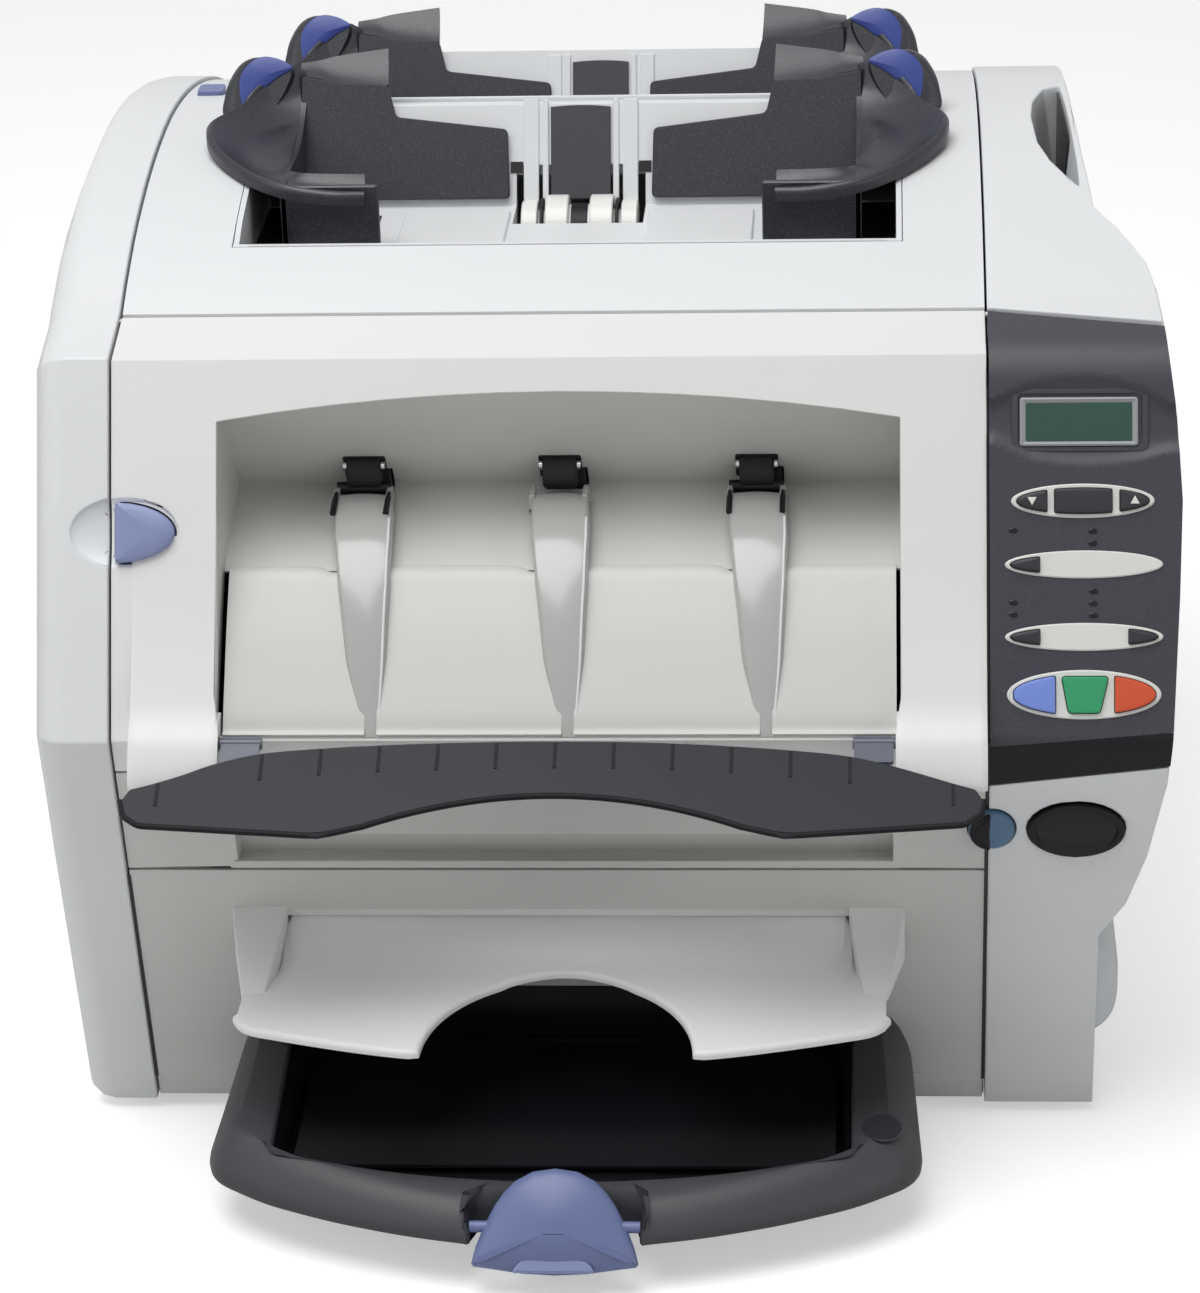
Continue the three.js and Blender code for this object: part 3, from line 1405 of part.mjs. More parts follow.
const hoppers = [
  ['envelope', 0, 0, 0, deckRaise], ['insert', insertShiftY, insertShiftZ, insertNarrow, insertRaise],
];
for (const [name, shiftY, shiftZ, narrow, raised] of hoppers) {
  const guide = hopperGuide(shiftY, shiftZ, narrow);
  const petal = guidePetal(shiftY, shiftZ, narrow);
  place(`${name}_well`, wellTub(shiftY, shiftZ, raised), white());
  place(`${name}_rollers`, feedRollers(shiftY, shiftZ), white());
  place(`${name}_guide_right`, guide, darkPlastic());
  place(`${name}_guide_left`, mirrored(guide), darkPlastic());
  place(`${name}_petal_right`, petal, petalBlue());
  place(`${name}_petal_left`, mirrored(petal), petalBlue());
  place(`${name}_marker`, labelPlate(shiftY, shiftZ, labelLow, labelHigh), darkPlastic());
}

place('control_panel', controlPanel(), darkPlastic());
place('display', displayBlock(0), plastic(0x3e6454, glossy));
const keyColours = { key_trial: 0x7084cc, key_start: 0x2e9662, key_stop: 0xd65832 };
for (const spec of keySpecs) place(spec[0], keyCap(spec, 0), plastic(keyColours[spec[0]] ?? 0x3a3a42));
place('side_latch', sideLatch(), plastic(0x547896));
place('oval_window', windowPlate(0), plastic(0x242428, glossy));
place('top_button', topButton(), bluePlastic());
place('fluid_bottle', bottleShape(0), plastic(0xe4ecf2));
place('power_inlet', powerInlet(), blackRubber());
place('power_switch', powerSwitch(), blackRubber());
const footRows = [['front', panFrontY + footInset], ['rear', panBackY - footInset]];
const footColumns = [['left', fromX + footInset], ['right', toX - footInset]];
for (const [side, x] of footColumns) {
  for (const [end, y] of footRows) place(`foot_${end}_${side}`, rubberFoot(x, y), blackRubber());
}

const bounds = new THREE.Box3().setFromObject(machine);
machine.position.set(-(bounds.min.x + bounds.max.x) / 2, -(bounds.min.y + bounds.max.y) / 2, -bounds.min.z);
machine.updateMatrixWorld(true);

export default machine;
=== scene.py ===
# %% [markdown]
# A desk-top folding and inserting machine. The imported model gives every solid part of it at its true
# size and place. This script gives those parts their finishes, adds the fine pieces that are too small
# or too smooth for the solids, and sets up a plain studio with a camera at the photograph's angle.
# Everything is in metres, +Z up, with the origin in the middle of the footprint.

# %% Load the frame
import json
import math

import bmesh
import bpy
import numpy as np
from mathutils import Matrix, Vector


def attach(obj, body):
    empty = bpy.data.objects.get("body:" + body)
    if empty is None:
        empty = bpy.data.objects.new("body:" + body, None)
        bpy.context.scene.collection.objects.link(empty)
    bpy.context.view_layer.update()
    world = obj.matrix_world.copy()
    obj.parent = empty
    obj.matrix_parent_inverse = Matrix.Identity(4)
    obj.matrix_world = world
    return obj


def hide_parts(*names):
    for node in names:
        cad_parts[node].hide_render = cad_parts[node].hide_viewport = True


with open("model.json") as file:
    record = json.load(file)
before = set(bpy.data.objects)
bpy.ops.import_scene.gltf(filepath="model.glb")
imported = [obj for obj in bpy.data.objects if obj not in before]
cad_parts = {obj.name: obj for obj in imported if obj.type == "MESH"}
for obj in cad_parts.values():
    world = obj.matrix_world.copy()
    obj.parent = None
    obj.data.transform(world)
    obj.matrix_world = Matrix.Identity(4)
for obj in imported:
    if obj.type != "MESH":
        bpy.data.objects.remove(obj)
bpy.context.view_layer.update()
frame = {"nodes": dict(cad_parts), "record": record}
NODES = frame["nodes"]

# %% [markdown]
# The machine is drawn about its paper path: X is 0 in the middle of the feed and Y is 0 at the foremost
# line of the front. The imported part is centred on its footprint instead. Every point could be typed in
# the frame's metres, but real sizes are easier to read and to check with a rule. So one helper moves
# millimetres in the machine's own measure to metres in the frame.

# %% Machine measure
SHIFT = np.array((-16.9, -159.3407, 0.0))
NOSE = 182.0
LEAN = math.atan2(63.0, 130.0)
UNDERCUT = math.atan2(36.0, 175.7)


def place(points):
    """Machine millimetres to frame metres: add the shift to each point, divide by a thousand."""
    return (np.asarray(points, float) + SHIFT) / 1000.0


print("lean of the front, degrees", round(math.degrees(LEAN), 2))

# %% [markdown]
# The camera stands above and a little to the right, turned slightly to the left and tilted down. It
# could be moved by eye until the picture looks right. Pairs of points that are mirror images on the
# machine say more, because they fix the middle plane and the distance. The picture is taken as 1200 by
# 1293, and the long side carries the sensor width.

# %% Camera
PICTURE = (1200.0, 1293.0)
FOCAL_PIXELS = 4200.0
CAMERA_PLACE = np.array((121.604, -1412.727, 874.539))
PITCH, YAW, ROLL = (math.radians(angle) for angle in (24.763, 4.2145, 1.9388))


def camera_axes(pitch, yaw, roll):
    """Right, up and forward directions: yaw turns left, pitch tilts down, roll turns in the picture."""
    forward = np.array((-math.sin(yaw) * math.cos(pitch), math.cos(yaw) * math.cos(pitch), -math.sin(pitch)))
    level = np.array((math.cos(yaw), math.sin(yaw), 0.0))
    above = np.cross(level, forward)
    right = level * math.cos(roll) - above * math.sin(roll)
    return right, above * math.cos(roll) + level * math.sin(roll), forward


camera = bpy.data.objects.new("camera", bpy.data.cameras.new("camera"))
bpy.context.scene.collection.objects.link(camera)
right, above, forward = camera_axes(PITCH, YAW, ROLL)
turn = Matrix(np.column_stack([right, above, -forward]).tolist()).to_4x4()
camera.matrix_world = Matrix.Translation(Vector(place(CAMERA_PLACE))) @ turn
camera.data.sensor_width = 36.0
camera.data.lens = FOCAL_PIXELS * camera.data.sensor_width / max(PICTURE)
camera.data.clip_end = 30.0
bpy.context.scene.camera = camera
print("lens", round(camera.data.lens, 1), "mm at", [round(c, 3) for c in camera.location])

# %% [markdown]
# The world, the finishes and some of the modifiers are trees of nodes. Made one link at a time they
# fill pages and hide what a tree is for. Two helpers make, set and link a node in one line each, and
# they serve every tree below.

# %% Nodes
def wire(tree, target, inputs):
    """Sets the inputs of a node: a socket is linked in, and any other value becomes the constant."""
    for key, value in inputs.items():
        if isinstance(value, bpy.types.NodeSocket):
            tree.links.new(value, target.inputs[key])
        else:
            target.inputs[key].default_value = value
    return target


def add_node(tree, kind, inputs=None, **settings):
    """A new node with its settings, which come first because some of them change the inputs."""
    made = tree.nodes.new(kind)
    for key, value in settings.items():
        setattr(made, key, value)
    return wire(tree, made, inputs or {})


# %% [markdown]
# The studio is a pale floor under a wide soft light from above, with a weaker one at each side. A white
# backdrop could come from more light, but that would bleach a white machine. So the world is white to
# the eye and dimmer as a lamp, and white plastic keeps its shading.

# %% Studio
WORLD_LIGHT, FLOOR_LIFT = 0.27, 0.46
MACHINE_MIDDLE = (0.0, 0.0, 0.2)


def add_world():
    """White where a camera, glossy or transmission ray meets it, and a dimmer white as a light."""
    world = bpy.data.worlds.new("studio")
    bpy.context.scene.world = world
    world.use_nodes = True
    tree = world.node_tree
    tree.nodes.clear()
    path = add_node(tree, "ShaderNodeLightPath").outputs
    seen = add_node(tree, "ShaderNodeMath", {0: path["Is Camera Ray"], 1: path["Is Transmission Ray"]},
                    operation="ADD", use_clamp=True)
    both = add_node(tree, "ShaderNodeMath", {0: seen.outputs[0], 1: path["Is Glossy Ray"]},
                    operation="ADD", use_clamp=True)
    level = add_node(tree, "ShaderNodeMapRange",
                     {"To Min": WORLD_LIGHT, "To Max": 1.0, "Value": both.outputs[0]})
    shade = add_node(tree, "ShaderNodeBackground", {"Strength": level.outputs["Result"]})
    add_node(tree, "ShaderNodeOutputWorld", {0: shade.outputs[0]})


def add_lamp(name, where, size, watts):
    """A square area lamp at a point, turned to face the middle of the machine."""
    data = bpy.data.lights.new(name, "AREA")
    data.shape = "SQUARE"
    data.size = size
    data.energy = watts
    lamp = bpy.data.objects.new(name, data)
    bpy.context.scene.collection.objects.link(lamp)
    lamp.location = where
    lamp.rotation_euler = (Vector(MACHINE_MIDDLE) - Vector(where)).to_track_quat("-Z", "Y").to_euler()


def add_floor():
    """A pale matt floor, lifted towards white where the camera looks at it; the shadow stays."""
    bpy.ops.mesh.primitive_plane_add(size=14.0)
    floor = bpy.context.object
    floor.name = "floor"
    material = bpy.data.materials.new("pale_floor")
    material.use_nodes = True
    tree = material.node_tree
    path = add_node(tree, "ShaderNodeLightPath")
    lift = add_node(tree, "ShaderNodeMath", {0: path.outputs["Is Camera Ray"], 1: FLOOR_LIFT},
                    operation="MULTIPLY")
    wire(tree, tree.nodes["Principled BSDF"], {
        "Base Color": (0.82, 0.82, 0.82, 1.0), "Roughness": 0.9, "Specular IOR Level": 0.1,
        "Emission Color": (1.0, 1.0, 1.0, 1.0), "Emission Strength": lift.outputs[0],
    })
    floor.data.materials.append(material)


add_world()
add_lamp("lamp_over", (-0.4, -0.5, 2.4), 1.7, 43.0)
add_lamp("lamp_left", (-2.2, -1.2, 1.3), 1.2, 6.0)
add_lamp("lamp_right", (2.2, -1.4, 1.0), 1.2, 5.0)
add_floor()
bpy.context.scene.view_settings.view_transform = "Standard"
print("lamps", len(bpy.data.lights))

# %% [markdown]
# Nearly every surface here is moulded plastic. A mould is etched with a fine grain, so light spreads a
# little and fine dots show up close. A plain colour looks like paint, and a picture of grain needs an
# unwrapped surface. Noise in Object coordinates needs neither: fine noise is a bump, and a broad faint
# noise varies colour and gloss, as on a large moulding.

# %% Finishes
FINISHES = {}
BROAD_NOISE, GRAIN_DEPTH, VARIATION, GLOSS_SPREAD, COAT_ROUGHNESS = 9.0, 0.0002, 0.02, 0.1, 0.12


def srgb(colour):
    """A picture's 0 to 255 values as linear light."""
    value = np.array(colour) / 255.0
    return np.where(value <= 0.04045, value / 12.92, ((value + 0.055) / 1.055) ** 2.4)


def finish(name, colour, rough, grain=0.03, grain_size=0.5, metal=0.0, coat=0.0, fleck=None,
           specular=0.5, clear=0.0):
    """A procedural plastic or metal: broad noise shades the colour and roughness, fine noise is bump."""
    material = bpy.data.materials.new(name)
    material.use_nodes = True
    tree = material.node_tree
    where = add_node(tree, "ShaderNodeTexCoord").outputs["Object"]
    noises = [add_node(tree, "ShaderNodeTexNoise", {"Vector": where, "Scale": scale, "Detail": detail})
              for scale, detail in ((BROAD_NOISE, 3.0), (1000.0 / grain_size, 1.0))]
    broad, fine = (noise.outputs["Fac"] for noise in noises)
    low, high = (np.clip(srgb(colour) * share, 0, 1) for share in (1 - VARIATION, 1 + VARIATION))
    tint = add_node(tree, "ShaderNodeMix", {0: broad, 6: (*low, 1.0), 7: (*high, 1.0)}, data_type="RGBA")
    result = tint.outputs[2]
    if fleck:
        speck = add_node(tree, "ShaderNodeMapRange", {"From Min": 0.6, "From Max": 0.75, "Value": fine})
        sparkle = {0: speck.outputs["Result"], 6: result, 7: (*srgb(fleck), 1.0)}
        result = add_node(tree, "ShaderNodeMix", sparkle, data_type="RGBA").outputs[2]
    gloss = add_node(tree, "ShaderNodeMapRange", {
        "To Min": rough * (1 - GLOSS_SPREAD), "To Max": min(1.0, rough * (1 + GLOSS_SPREAD)),
        "Value": broad})
    bump = add_node(tree, "ShaderNodeBump", {"Strength": grain, "Distance": GRAIN_DEPTH, "Height": fine})
    wire(tree, tree.nodes["Principled BSDF"], {
        "Base Color": result, "Roughness": gloss.outputs["Result"], "Normal": bump.outputs["Normal"],
        "Metallic": metal, "Coat Weight": coat, "Coat Roughness": COAT_ROUGHNESS,
        "Specular IOR Level": specular, "Transmission Weight": clear,
    })
    FINISHES[name] = material


COVER = {"grain": 0.06, "grain_size": 0.4}
SOFT = {"grain": 0.08, "grain_size": 0.4}
GLOSSY = {"grain": 0.0, "coat": 0.2}
for name, colour, rough, more in (
    # beige_cover is the white cover plastic made lighter: painted light on the door and the shelf, which get
    # less light than the top.
    ("white_cover", (226, 228, 230), 0.42, COVER), ("beige_cover", (232, 232, 231), 0.45, COVER),
    # lower_shade_grey and chamber_shade_grey are the white cover plastic made darker: painted shade on the
    # lower covers and inside the exit.
    ("lower_shade_grey", (211, 211, 208), 0.45, COVER), ("chamber_shade_grey", (207, 207, 204), 0.45, COVER),
    ("smoke_tab", (88, 91, 106), 0.3, {"grain": 0.0}),
    ("guide_dark", (27, 27, 34), 0.34,
     {"grain": 0.3, "grain_size": 0.3, "specular": 0.6, "fleck": (92, 96, 112)}),
    ("tray_dark", (55, 55, 60), 0.46, {"grain": 0.25, "grain_size": 0.35, "fleck": (66, 66, 74)}),
    # pocket_black_and_shadow is black for the tray's pocket and the fold unit, and painted shadow in key
    # gaps, slots, seams and the hand's hollow.
    ("pocket_black_and_shadow", (20, 20, 24), 0.3, {"grain": 0.05, "grain_size": 0.4}),
    ("panel_dark", (52, 52, 61), 0.48, {"grain": 0.35, "grain_size": 0.4, "fleck": (80, 82, 96)}),
    ("black_rubber", (24, 24, 26), 0.75, {"grain": 0.3}),
    # clip_black_and_shade is black for clips, rings and the window rim, and painted shade on the panel's
    # underside and on the latch's left half.
    ("clip_black_and_shade", (22, 22, 26), 0.45, {"grain": 0.05, "specular": 0.25}),
    # finger_white is the cover plastic made darker still: painted shade on the fingers inside the exit.
    ("finger_white", (178, 178, 176), 0.24, {"grain": 0.0, "coat": 0.3}),
    ("roller_white", (232, 232, 228), 0.3, {"grain": 0.02}), ("soft_blue", (108, 120, 164), 0.4, SOFT),
    ("light_blue", (136, 147, 188), 0.4, SOFT), ("petal_blue", (56, 72, 146), 0.36, SOFT),
    ("latch_teal", (84, 116, 146), 0.35, {"grain": 0.05}),
    ("window_dark", (24, 25, 29), 0.2, {"grain": 0.0, "specular": 0.3}),
    ("bezel_grey", (150, 152, 156), 0.35, {"grain": 0.1}),
    ("display_green", (54, 84, 74), 0.12, {"grain": 0.0, "specular": 0.3}),
    ("ring_pale", (228, 228, 224), 0.4, {"grain": 0.02}), ("key_black", (40, 40, 46), 0.35, {"grain": 0.05}),
    ("key_blue", (122, 146, 226), 0.3, GLOSSY), ("key_green", (44, 158, 104), 0.3, GLOSSY),
    ("key_red", (214, 84, 44), 0.3, GLOSSY),
    ("bottle_white", (244, 247, 250), 0.3, {"grain": 0.0, "clear": 0.25}),
    ("sheet_steel", (176, 178, 180), 0.35, {"metal": 1.0}),
    ("shaft_steel", (200, 202, 204), 0.18, {"metal": 1.0, "grain": 0.0}),
    ("smoke", (26, 28, 38), 0.4, {"grain": 0.05, "specular": 0.25, "clear": 0.1}),
    ("smoke_edge", (16, 16, 20), 0.5, {"grain": 0.0, "specular": 0.2}),
):
    finish(name, colour, rough, **more)
print("finishes", len(FINISHES))

# %% [markdown]
# Each solid takes a finish from the slot that the record gives it. Naming every solid here would only repeat
# the record. So a short table turns a slot into a finish, and a few parts that share a slot are named one by
# one: the paper plate and the fold unit look different on the real machine, and the lower covers and the
# exit chute take a darker copy of the cover plastic as painted shade.

# %% Finishes of the solids
SLOT_FINISH = {
    "dark_plastic": "guide_dark", "roller_rubber": "black_rubber", "foot_rubber": "black_rubber",
    "smoked_plastic": "smoke", "blue_plastic": "soft_blue", "panel_plastic": "panel_dark",
    "display_face": "display_green", "window_plastic": "window_dark",
}
NODE_FINISH = {
    "paper_plate": "window_dark", "fold_unit": "pocket_black_and_shadow", "middle_cover": "lower_shade_grey",
    "lower_cover": "lower_shade_grey", "exit_chute": "chamber_shade_grey",
}
print("slots with another finish", len(SLOT_FINISH), "and solids", len(NODE_FINISH))

# %% [markdown]
# The solids come in as loose triangles with sharp edges, and no moulded edge is that sharp. Their
# meshes could be edited for good, but live modifiers leave them as they are: they weld, take out the
# cuts across flat faces, round each edge by a few tenths of a millimetre and shade by angle. Flat faces
# with an opening in them keep their cuts, because one face drawn round an opening can close over it.
# The front walls of the two wells are let down to the cover's own skin.

# %% Edges
def geometry_group(name):
    """A geometry tree with nothing in it yet, its way in and its way out."""
    group = bpy.data.node_groups.new(name, "GeometryNodeTree")
    for way in ("INPUT", "OUTPUT"):
        group.interface.new_socket("Geometry", in_out=way, socket_type="NodeSocketGeometry")
    return group, add_node(group, "NodeGroupInput").outputs[0], add_node(group, "NodeGroupOutput")


def smooth_by_angle(degrees):
    """A node group that shades faces smooth and keeps edges over the angle sharp."""
    group, start, end = geometry_group("shade_by_angle")
    faces = add_node(group, "GeometryNodeSetShadeSmooth", {"Geometry": start, "Shade Smooth": True},
                     domain="FACE")
    angle = add_node(group, "GeometryNodeInputMeshEdgeAngle").outputs["Unsigned Angle"]
    over = add_node(group, "ShaderNodeMath", {0: angle, 1: math.radians(degrees)}, operation="GREATER_THAN")
    edges = add_node(group, "GeometryNodeSetShadeSmooth", {
        "Geometry": faces.outputs["Geometry"], "Selection": over.outputs[0], "Shade Smooth": False,
    }, domain="EDGE")
    wire(group, end, {0: edges.outputs["Geometry"]})
    return group


SHADING = smooth_by_angle(28.0)


def add_modifier(piece, name, kind, **settings):
    """A modifier with its settings."""
    made = piece.modifiers.new(name, kind)
    for key, value in settings.items():
        setattr(made, key, value)


def settle(piece):
    """Shades by angle, then lets larger faces set the corner normals, so flats stay flat at an edge."""
    add_modifier(piece, "shade", "NODES", node_group=SHADING)
    add_modifier(piece, "normals", "WEIGHTED_NORMAL", keep_sharp=True, weight=90)


WELD_REACH, PIECE_MERGE = 1e-5, 2e-6
FLAT_ANGLE, EDGE_ANGLE, PIECE_EDGE_ANGLE = (math.radians(angle) for angle in (0.4, 30.0, 35.0))
HOLED = ("lower_cover", "rear_cover", "right_side_cover", "middle_cover", "fold_unit")
EDGE_WIDTH = {"sheet_tray": (2.4, 4), "manual_shelf": (0.8, 3), "top_cover": (0.2, 2),
              "envelope_well": (0.2, 2), "insert_well": (0.2, 2), "right_side_cover": (0.8, 3),
              "left_side_cover": (0.8, 3)}
FRONT_WALLS = {"envelope_well": (132.0, 334.7), "insert_well": (260.0, 353.6)}


def soften(piece, width=0.4, segments=2):
    """Welds, dissolves flat joins, rounds edges over 30 degrees by width millimetres and shades."""
    add_modifier(piece, "weld", "WELD", merge_threshold=WELD_REACH)
    if piece.name not in HOLED:
        add_modifier(piece, "flat", "DECIMATE", decimate_type="DISSOLVE", angle_limit=FLAT_ANGLE)
    add_modifier(piece, "edge", "BEVEL", width=width / 1000.0, segments=segments, limit_method="ANGLE",
                 angle_limit=EDGE_ANGLE, use_clamp_overlap=False, miter_outer="MITER_ARC")
    settle(piece)


def lowered_front(node):
    """A modifier: in front of a depth no point of the well stands higher than the cover's own skin."""
    back, top = FRONT_WALLS[node]
    group, start, end = geometry_group("front_of_" + node)
    where = add_node(group, "GeometryNodeInputPosition").outputs[0]
    split = add_node(group, "ShaderNodeSeparateXYZ", {0: where}).outputs
    near = add_node(group, "FunctionNodeCompare", {"A": split["Y"], "B": place((0.0, back, 0.0))[1]},
                    operation="LESS_THAN")
    cap = add_node(group, "ShaderNodeMath", {0: split["Z"], 1: top / 1000.0}, operation="MINIMUM")
    meet = add_node(group, "ShaderNodeCombineXYZ", {"X": split["X"], "Y": split["Y"], "Z": cap.outputs[0]})
    move = add_node(group, "GeometryNodeSetPosition", {
        "Geometry": start, "Selection": near.outputs["Result"], "Position": meet.outputs[0]})
    wire(group, end, {0: move.outputs[0]})
    add_modifier(NODES[node], "front", "NODES", node_group=group)


for entry in frame["record"]["subparts"]:
    node, slot = entry["node"], entry["material_slot"]
    mesh = NODES[node].data
    mesh.materials.clear()
    mesh.materials.append(FINISHES[NODE_FINISH.get(node, SLOT_FINISH.get(slot, slot))])
    if node in FRONT_WALLS:
        lowered_front(node)
    soften(NODES[node], *EDGE_WIDTH.get(node, (0.4, 2)))

# %% [markdown]
# The smoother pieces are surfaces that numpy works out. They could be pulled into shape by hand, but a
# formula can be read, checked and changed: a closed ring of points is carried along a path, or an
# outline is raised in steps. Every ring has the same number of points, so quads join them.

# %% Grids and rings
def smooth_curve(points, steps):
    """Catmull-Rom curve: each span is a cubic of its two ends and the neighbour on either side."""
    points = np.asarray(points, float)
    padded = np.vstack([2 * points[0] - points[1], points, 2 * points[-1] - points[-2]])
    t = np.linspace(0.0, len(points) - 1.0, steps)
    span = np.minimum(t.astype(int), len(points) - 2)
    f = (t - span)[:, None]
    a, b, c, d = (padded[span + k] for k in range(4))
    cubic = 2 * b + (c - a) * f + (2 * a - 5 * b + 4 * c - d) * f**2 + (3 * b - a - 3 * c + d) * f**3
    return cubic / 2.0


def grid_faces(rows, columns, wrap=False):
    """Quads between neighbouring points of a grid; wrap joins the last column to the first."""
    i, j = np.meshgrid(np.arange(rows - 1), np.arange(columns if wrap else columns - 1), indexing="ij")
    k = (j + 1) % columns
    corners = [i * columns + j, i * columns + k, (i + 1) * columns + k, (i + 1) * columns + j]
    return np.stack(corners, axis=-1).reshape(-1, 4)


def loft(rings):
    """Closed rings (rows, points, 3) joined in order, with a flat face over each end."""
    rings = np.asarray(rings, float)
    rows, count = rings.shape[:2]
    faces = grid_faces(rows, count, wrap=True).tolist()
    faces.append(list(range(count))[::-1])
    faces.append(list(range((rows - 1) * count, rows * count)))
    return rings.reshape(-1, 3), faces


def looped(rings):
    """Closed rings joined in order, and the last one to the first."""
    rings = np.asarray(rings, float)
    rows, count = rings.shape[:2]
    faces = grid_faces(rows + 1, count, wrap=True) % (rows * count)
    return rings.reshape(-1, 3), faces.tolist()


def swept(profile, x):
    """A profile of (y, z) points repeated at each x, as a grid of rows along the profile."""
    grid = np.empty((len(profile), len(x), 3))
    grid[..., 0] = x
    grid[..., 1:] = profile[:, None]
    return grid


def shell(grid, thickness):
    """A wall: the grid, and the same grid moved against its normals, joined round the four edges."""
    grid = np.asarray(grid, float)
    rows, columns = grid.shape[:2]
    normal = np.cross(np.gradient(grid, axis=0), np.gradient(grid, axis=1))
    normal /= np.maximum(np.linalg.norm(normal, axis=2, keepdims=True), 1e-9)
    under = grid - normal * thickness
    count = rows * columns
    top = grid_faces(rows, columns)
    index = np.arange(count).reshape(rows, columns)
    edge = np.concatenate([index[0], index[1:, -1], index[-1, -2::-1], index[-2:0:-1, 0]])
    ahead = np.roll(edge, -1)
    side = np.column_stack([edge, edge + count, ahead + count, ahead])
    faces = np.concatenate([top, top[:, ::-1] + count, side])
    return np.concatenate([grid.reshape(-1, 3), under.reshape(-1, 3)]), faces.tolist()


def joined(*parts):
    """Several (points, faces) put after one another, with the face numbers moved on."""
    points, faces, start = [], [], 0
    for some, quads in parts:
        points.append(some)
        faces.extend([[number + start for number in quad] for quad in quads])
        start += len(some)
    return np.concatenate(points), faces


print("three rings of four points give", len(loft(np.zeros((3, 4, 3)))[1]), "faces")

# %% [markdown]
# Keys, plates and rims are flat shapes with a height. A curve object with a bevel would ease every edge
# in the same way. An outline kept as a list of corners can be stepped inwards while it rises, by as
# much as each moulded edge needs. Its corners are eased with a parabola.

# %% Outlines
def turned_left(outline):
    """The outline in anticlockwise order, by the sign of its area."""
    outline = np.asarray(outline, float)
    ahead = np.roll(outline, -1, axis=0)
    area = np.sum(outline[:, 0] * ahead[:, 1] - ahead[:, 0] * outline[:, 1])
    return outline if area > 0 else outline[::-1]


def rounded(corners, radius, steps=6):
    """Each corner is cut back by the radius along both edges and joined by a parabola."""
    corners = turned_left(corners)

    def cut(other):
        line = other - corners
        return corners + line * np.minimum(radius / np.linalg.norm(line, axis=1, keepdims=True), 0.49)

    start, end = cut(np.roll(corners, 1, axis=0)), cut(np.roll(corners, -1, axis=0))
    t = np.linspace(0.0, 1.0, steps)[None, :, None]
    curve = (1 - t) ** 2 * start[:, None] + 2 * t * (1 - t) * corners[:, None] + t**2 * end[:, None]
    return curve.reshape(-1, 2)


def rectangle(x0, x1, y0, y1, radius=0.0, steps=6):
    """A rectangle, with eased corners where a radius is given."""
    corners = np.array([(x0, y0), (x1, y0), (x1, y1), (x0, y1)], float)
    return rounded(corners, radius, steps) if radius > 0 else corners


def oval(x, y, wide, tall, steps=40):
    """An ellipse about a point: wide times cosine, tall times sine."""
    angle = np.linspace(0.0, 2 * math.pi, steps, endpoint=False)
    return np.column_stack([x + wide * np.cos(angle), y + tall * np.sin(angle)])


def inset(outline, distance):
    """Each corner moved inwards along the mean of its two edge normals."""
    ahead = np.roll(outline, -1, axis=0) - outline
    ahead = ahead / np.linalg.norm(ahead, axis=1, keepdims=True)
    normal = np.column_stack([-ahead[:, 1], ahead[:, 0]])
    mean = normal + np.roll(normal, 1, axis=0)
    mean = mean / np.linalg.norm(mean, axis=1, keepdims=True)
    reach = np.maximum(np.sum(mean * normal, axis=1), 0.4)
    return outline + mean * (distance / reach)[:, None]


def raised(outline, steps, space, crown=0.0):
    """Rings of the outline at (inset, height) steps, then a dome: height times one minus share squared."""
    outline = turned_left(outline)
    rings = [space(inset(outline, distance), height) for distance, height in steps]
    if crown > 0:
        flat = inset(outline, steps[-1][0])
        middle = flat.mean(axis=0)
        for share in (0.85, 0.68, 0.5, 0.32, 0.14):
            height = steps[-1][1] + crown * (1 - share**2)
            rings.append(space(middle + (flat - middle) * share, height))
    return loft(rings)


def band(outer, inner, low, high, space):
    """A flat ring between two outlines of the same count, from one height to another."""
    return looped([space(outer, low), space(outer, high), space(inner, high), space(inner, low)])


def eased(before, corner, after, radius, steps):
    """A parabola that cuts a corner back by a radius along both of its edges."""
    t = np.linspace(0.0, 1.0, steps)[:, None]
    start, end = (corner + (other - corner) * radius / np.linalg.norm(other - corner)
                  for other in (before, after))
    return (1 - t) ** 2 * start + 2 * t * (1 - t) * corner + t**2 * end


def eased_path(corners, radii, steps=8):
    """An open path whose inner corners are parabolas, cut back by a radius on both sides."""
    corners = np.asarray(corners, float)
    bends = zip(corners, corners[1:], corners[2:], radii)
    return np.concatenate([corners[:1], *(eased(*bend, steps) for bend in bends), corners[-1:]])


def round_corners(corners, radii, steps=10):
    """A closed outline whose corners are parabolas, each cut back by its own distance."""
    corners = np.asarray(corners, float)
    bends = zip(np.roll(corners, 1, 0), corners, np.roll(corners, -1, 0), radii)
    return np.concatenate([eased(*bend, steps) for bend in bends])


def along(path):
    """Length along a path at each of its points."""
    return np.concatenate([[0.0], np.cumsum(np.linalg.norm(np.diff(path, axis=0), axis=1))])


def resampled(outline, count):
    """A closed outline at count points with equal steps between them."""
    closed = np.vstack([outline, outline[:1]])
    run = along(closed)
    at = np.linspace(0.0, run[-1], count, endpoint=False)
    return np.column_stack([np.interp(at, run, line) for line in closed.T])


print("points of an eased square", len(rectangle(0.0, 10.0, 0.0, 10.0, 2.0)))

# %% [markdown]
# The panel, the flap and the decks all lean, and what sits on them is simplest to draw flat. It could
# be made level and turned afterwards, which hides where it ends up. A flat measure lays the outline
# straight on its plane: a first direction across, a second one up, and the third straight out of the
# surface. Rods and wires follow a path with a round section.

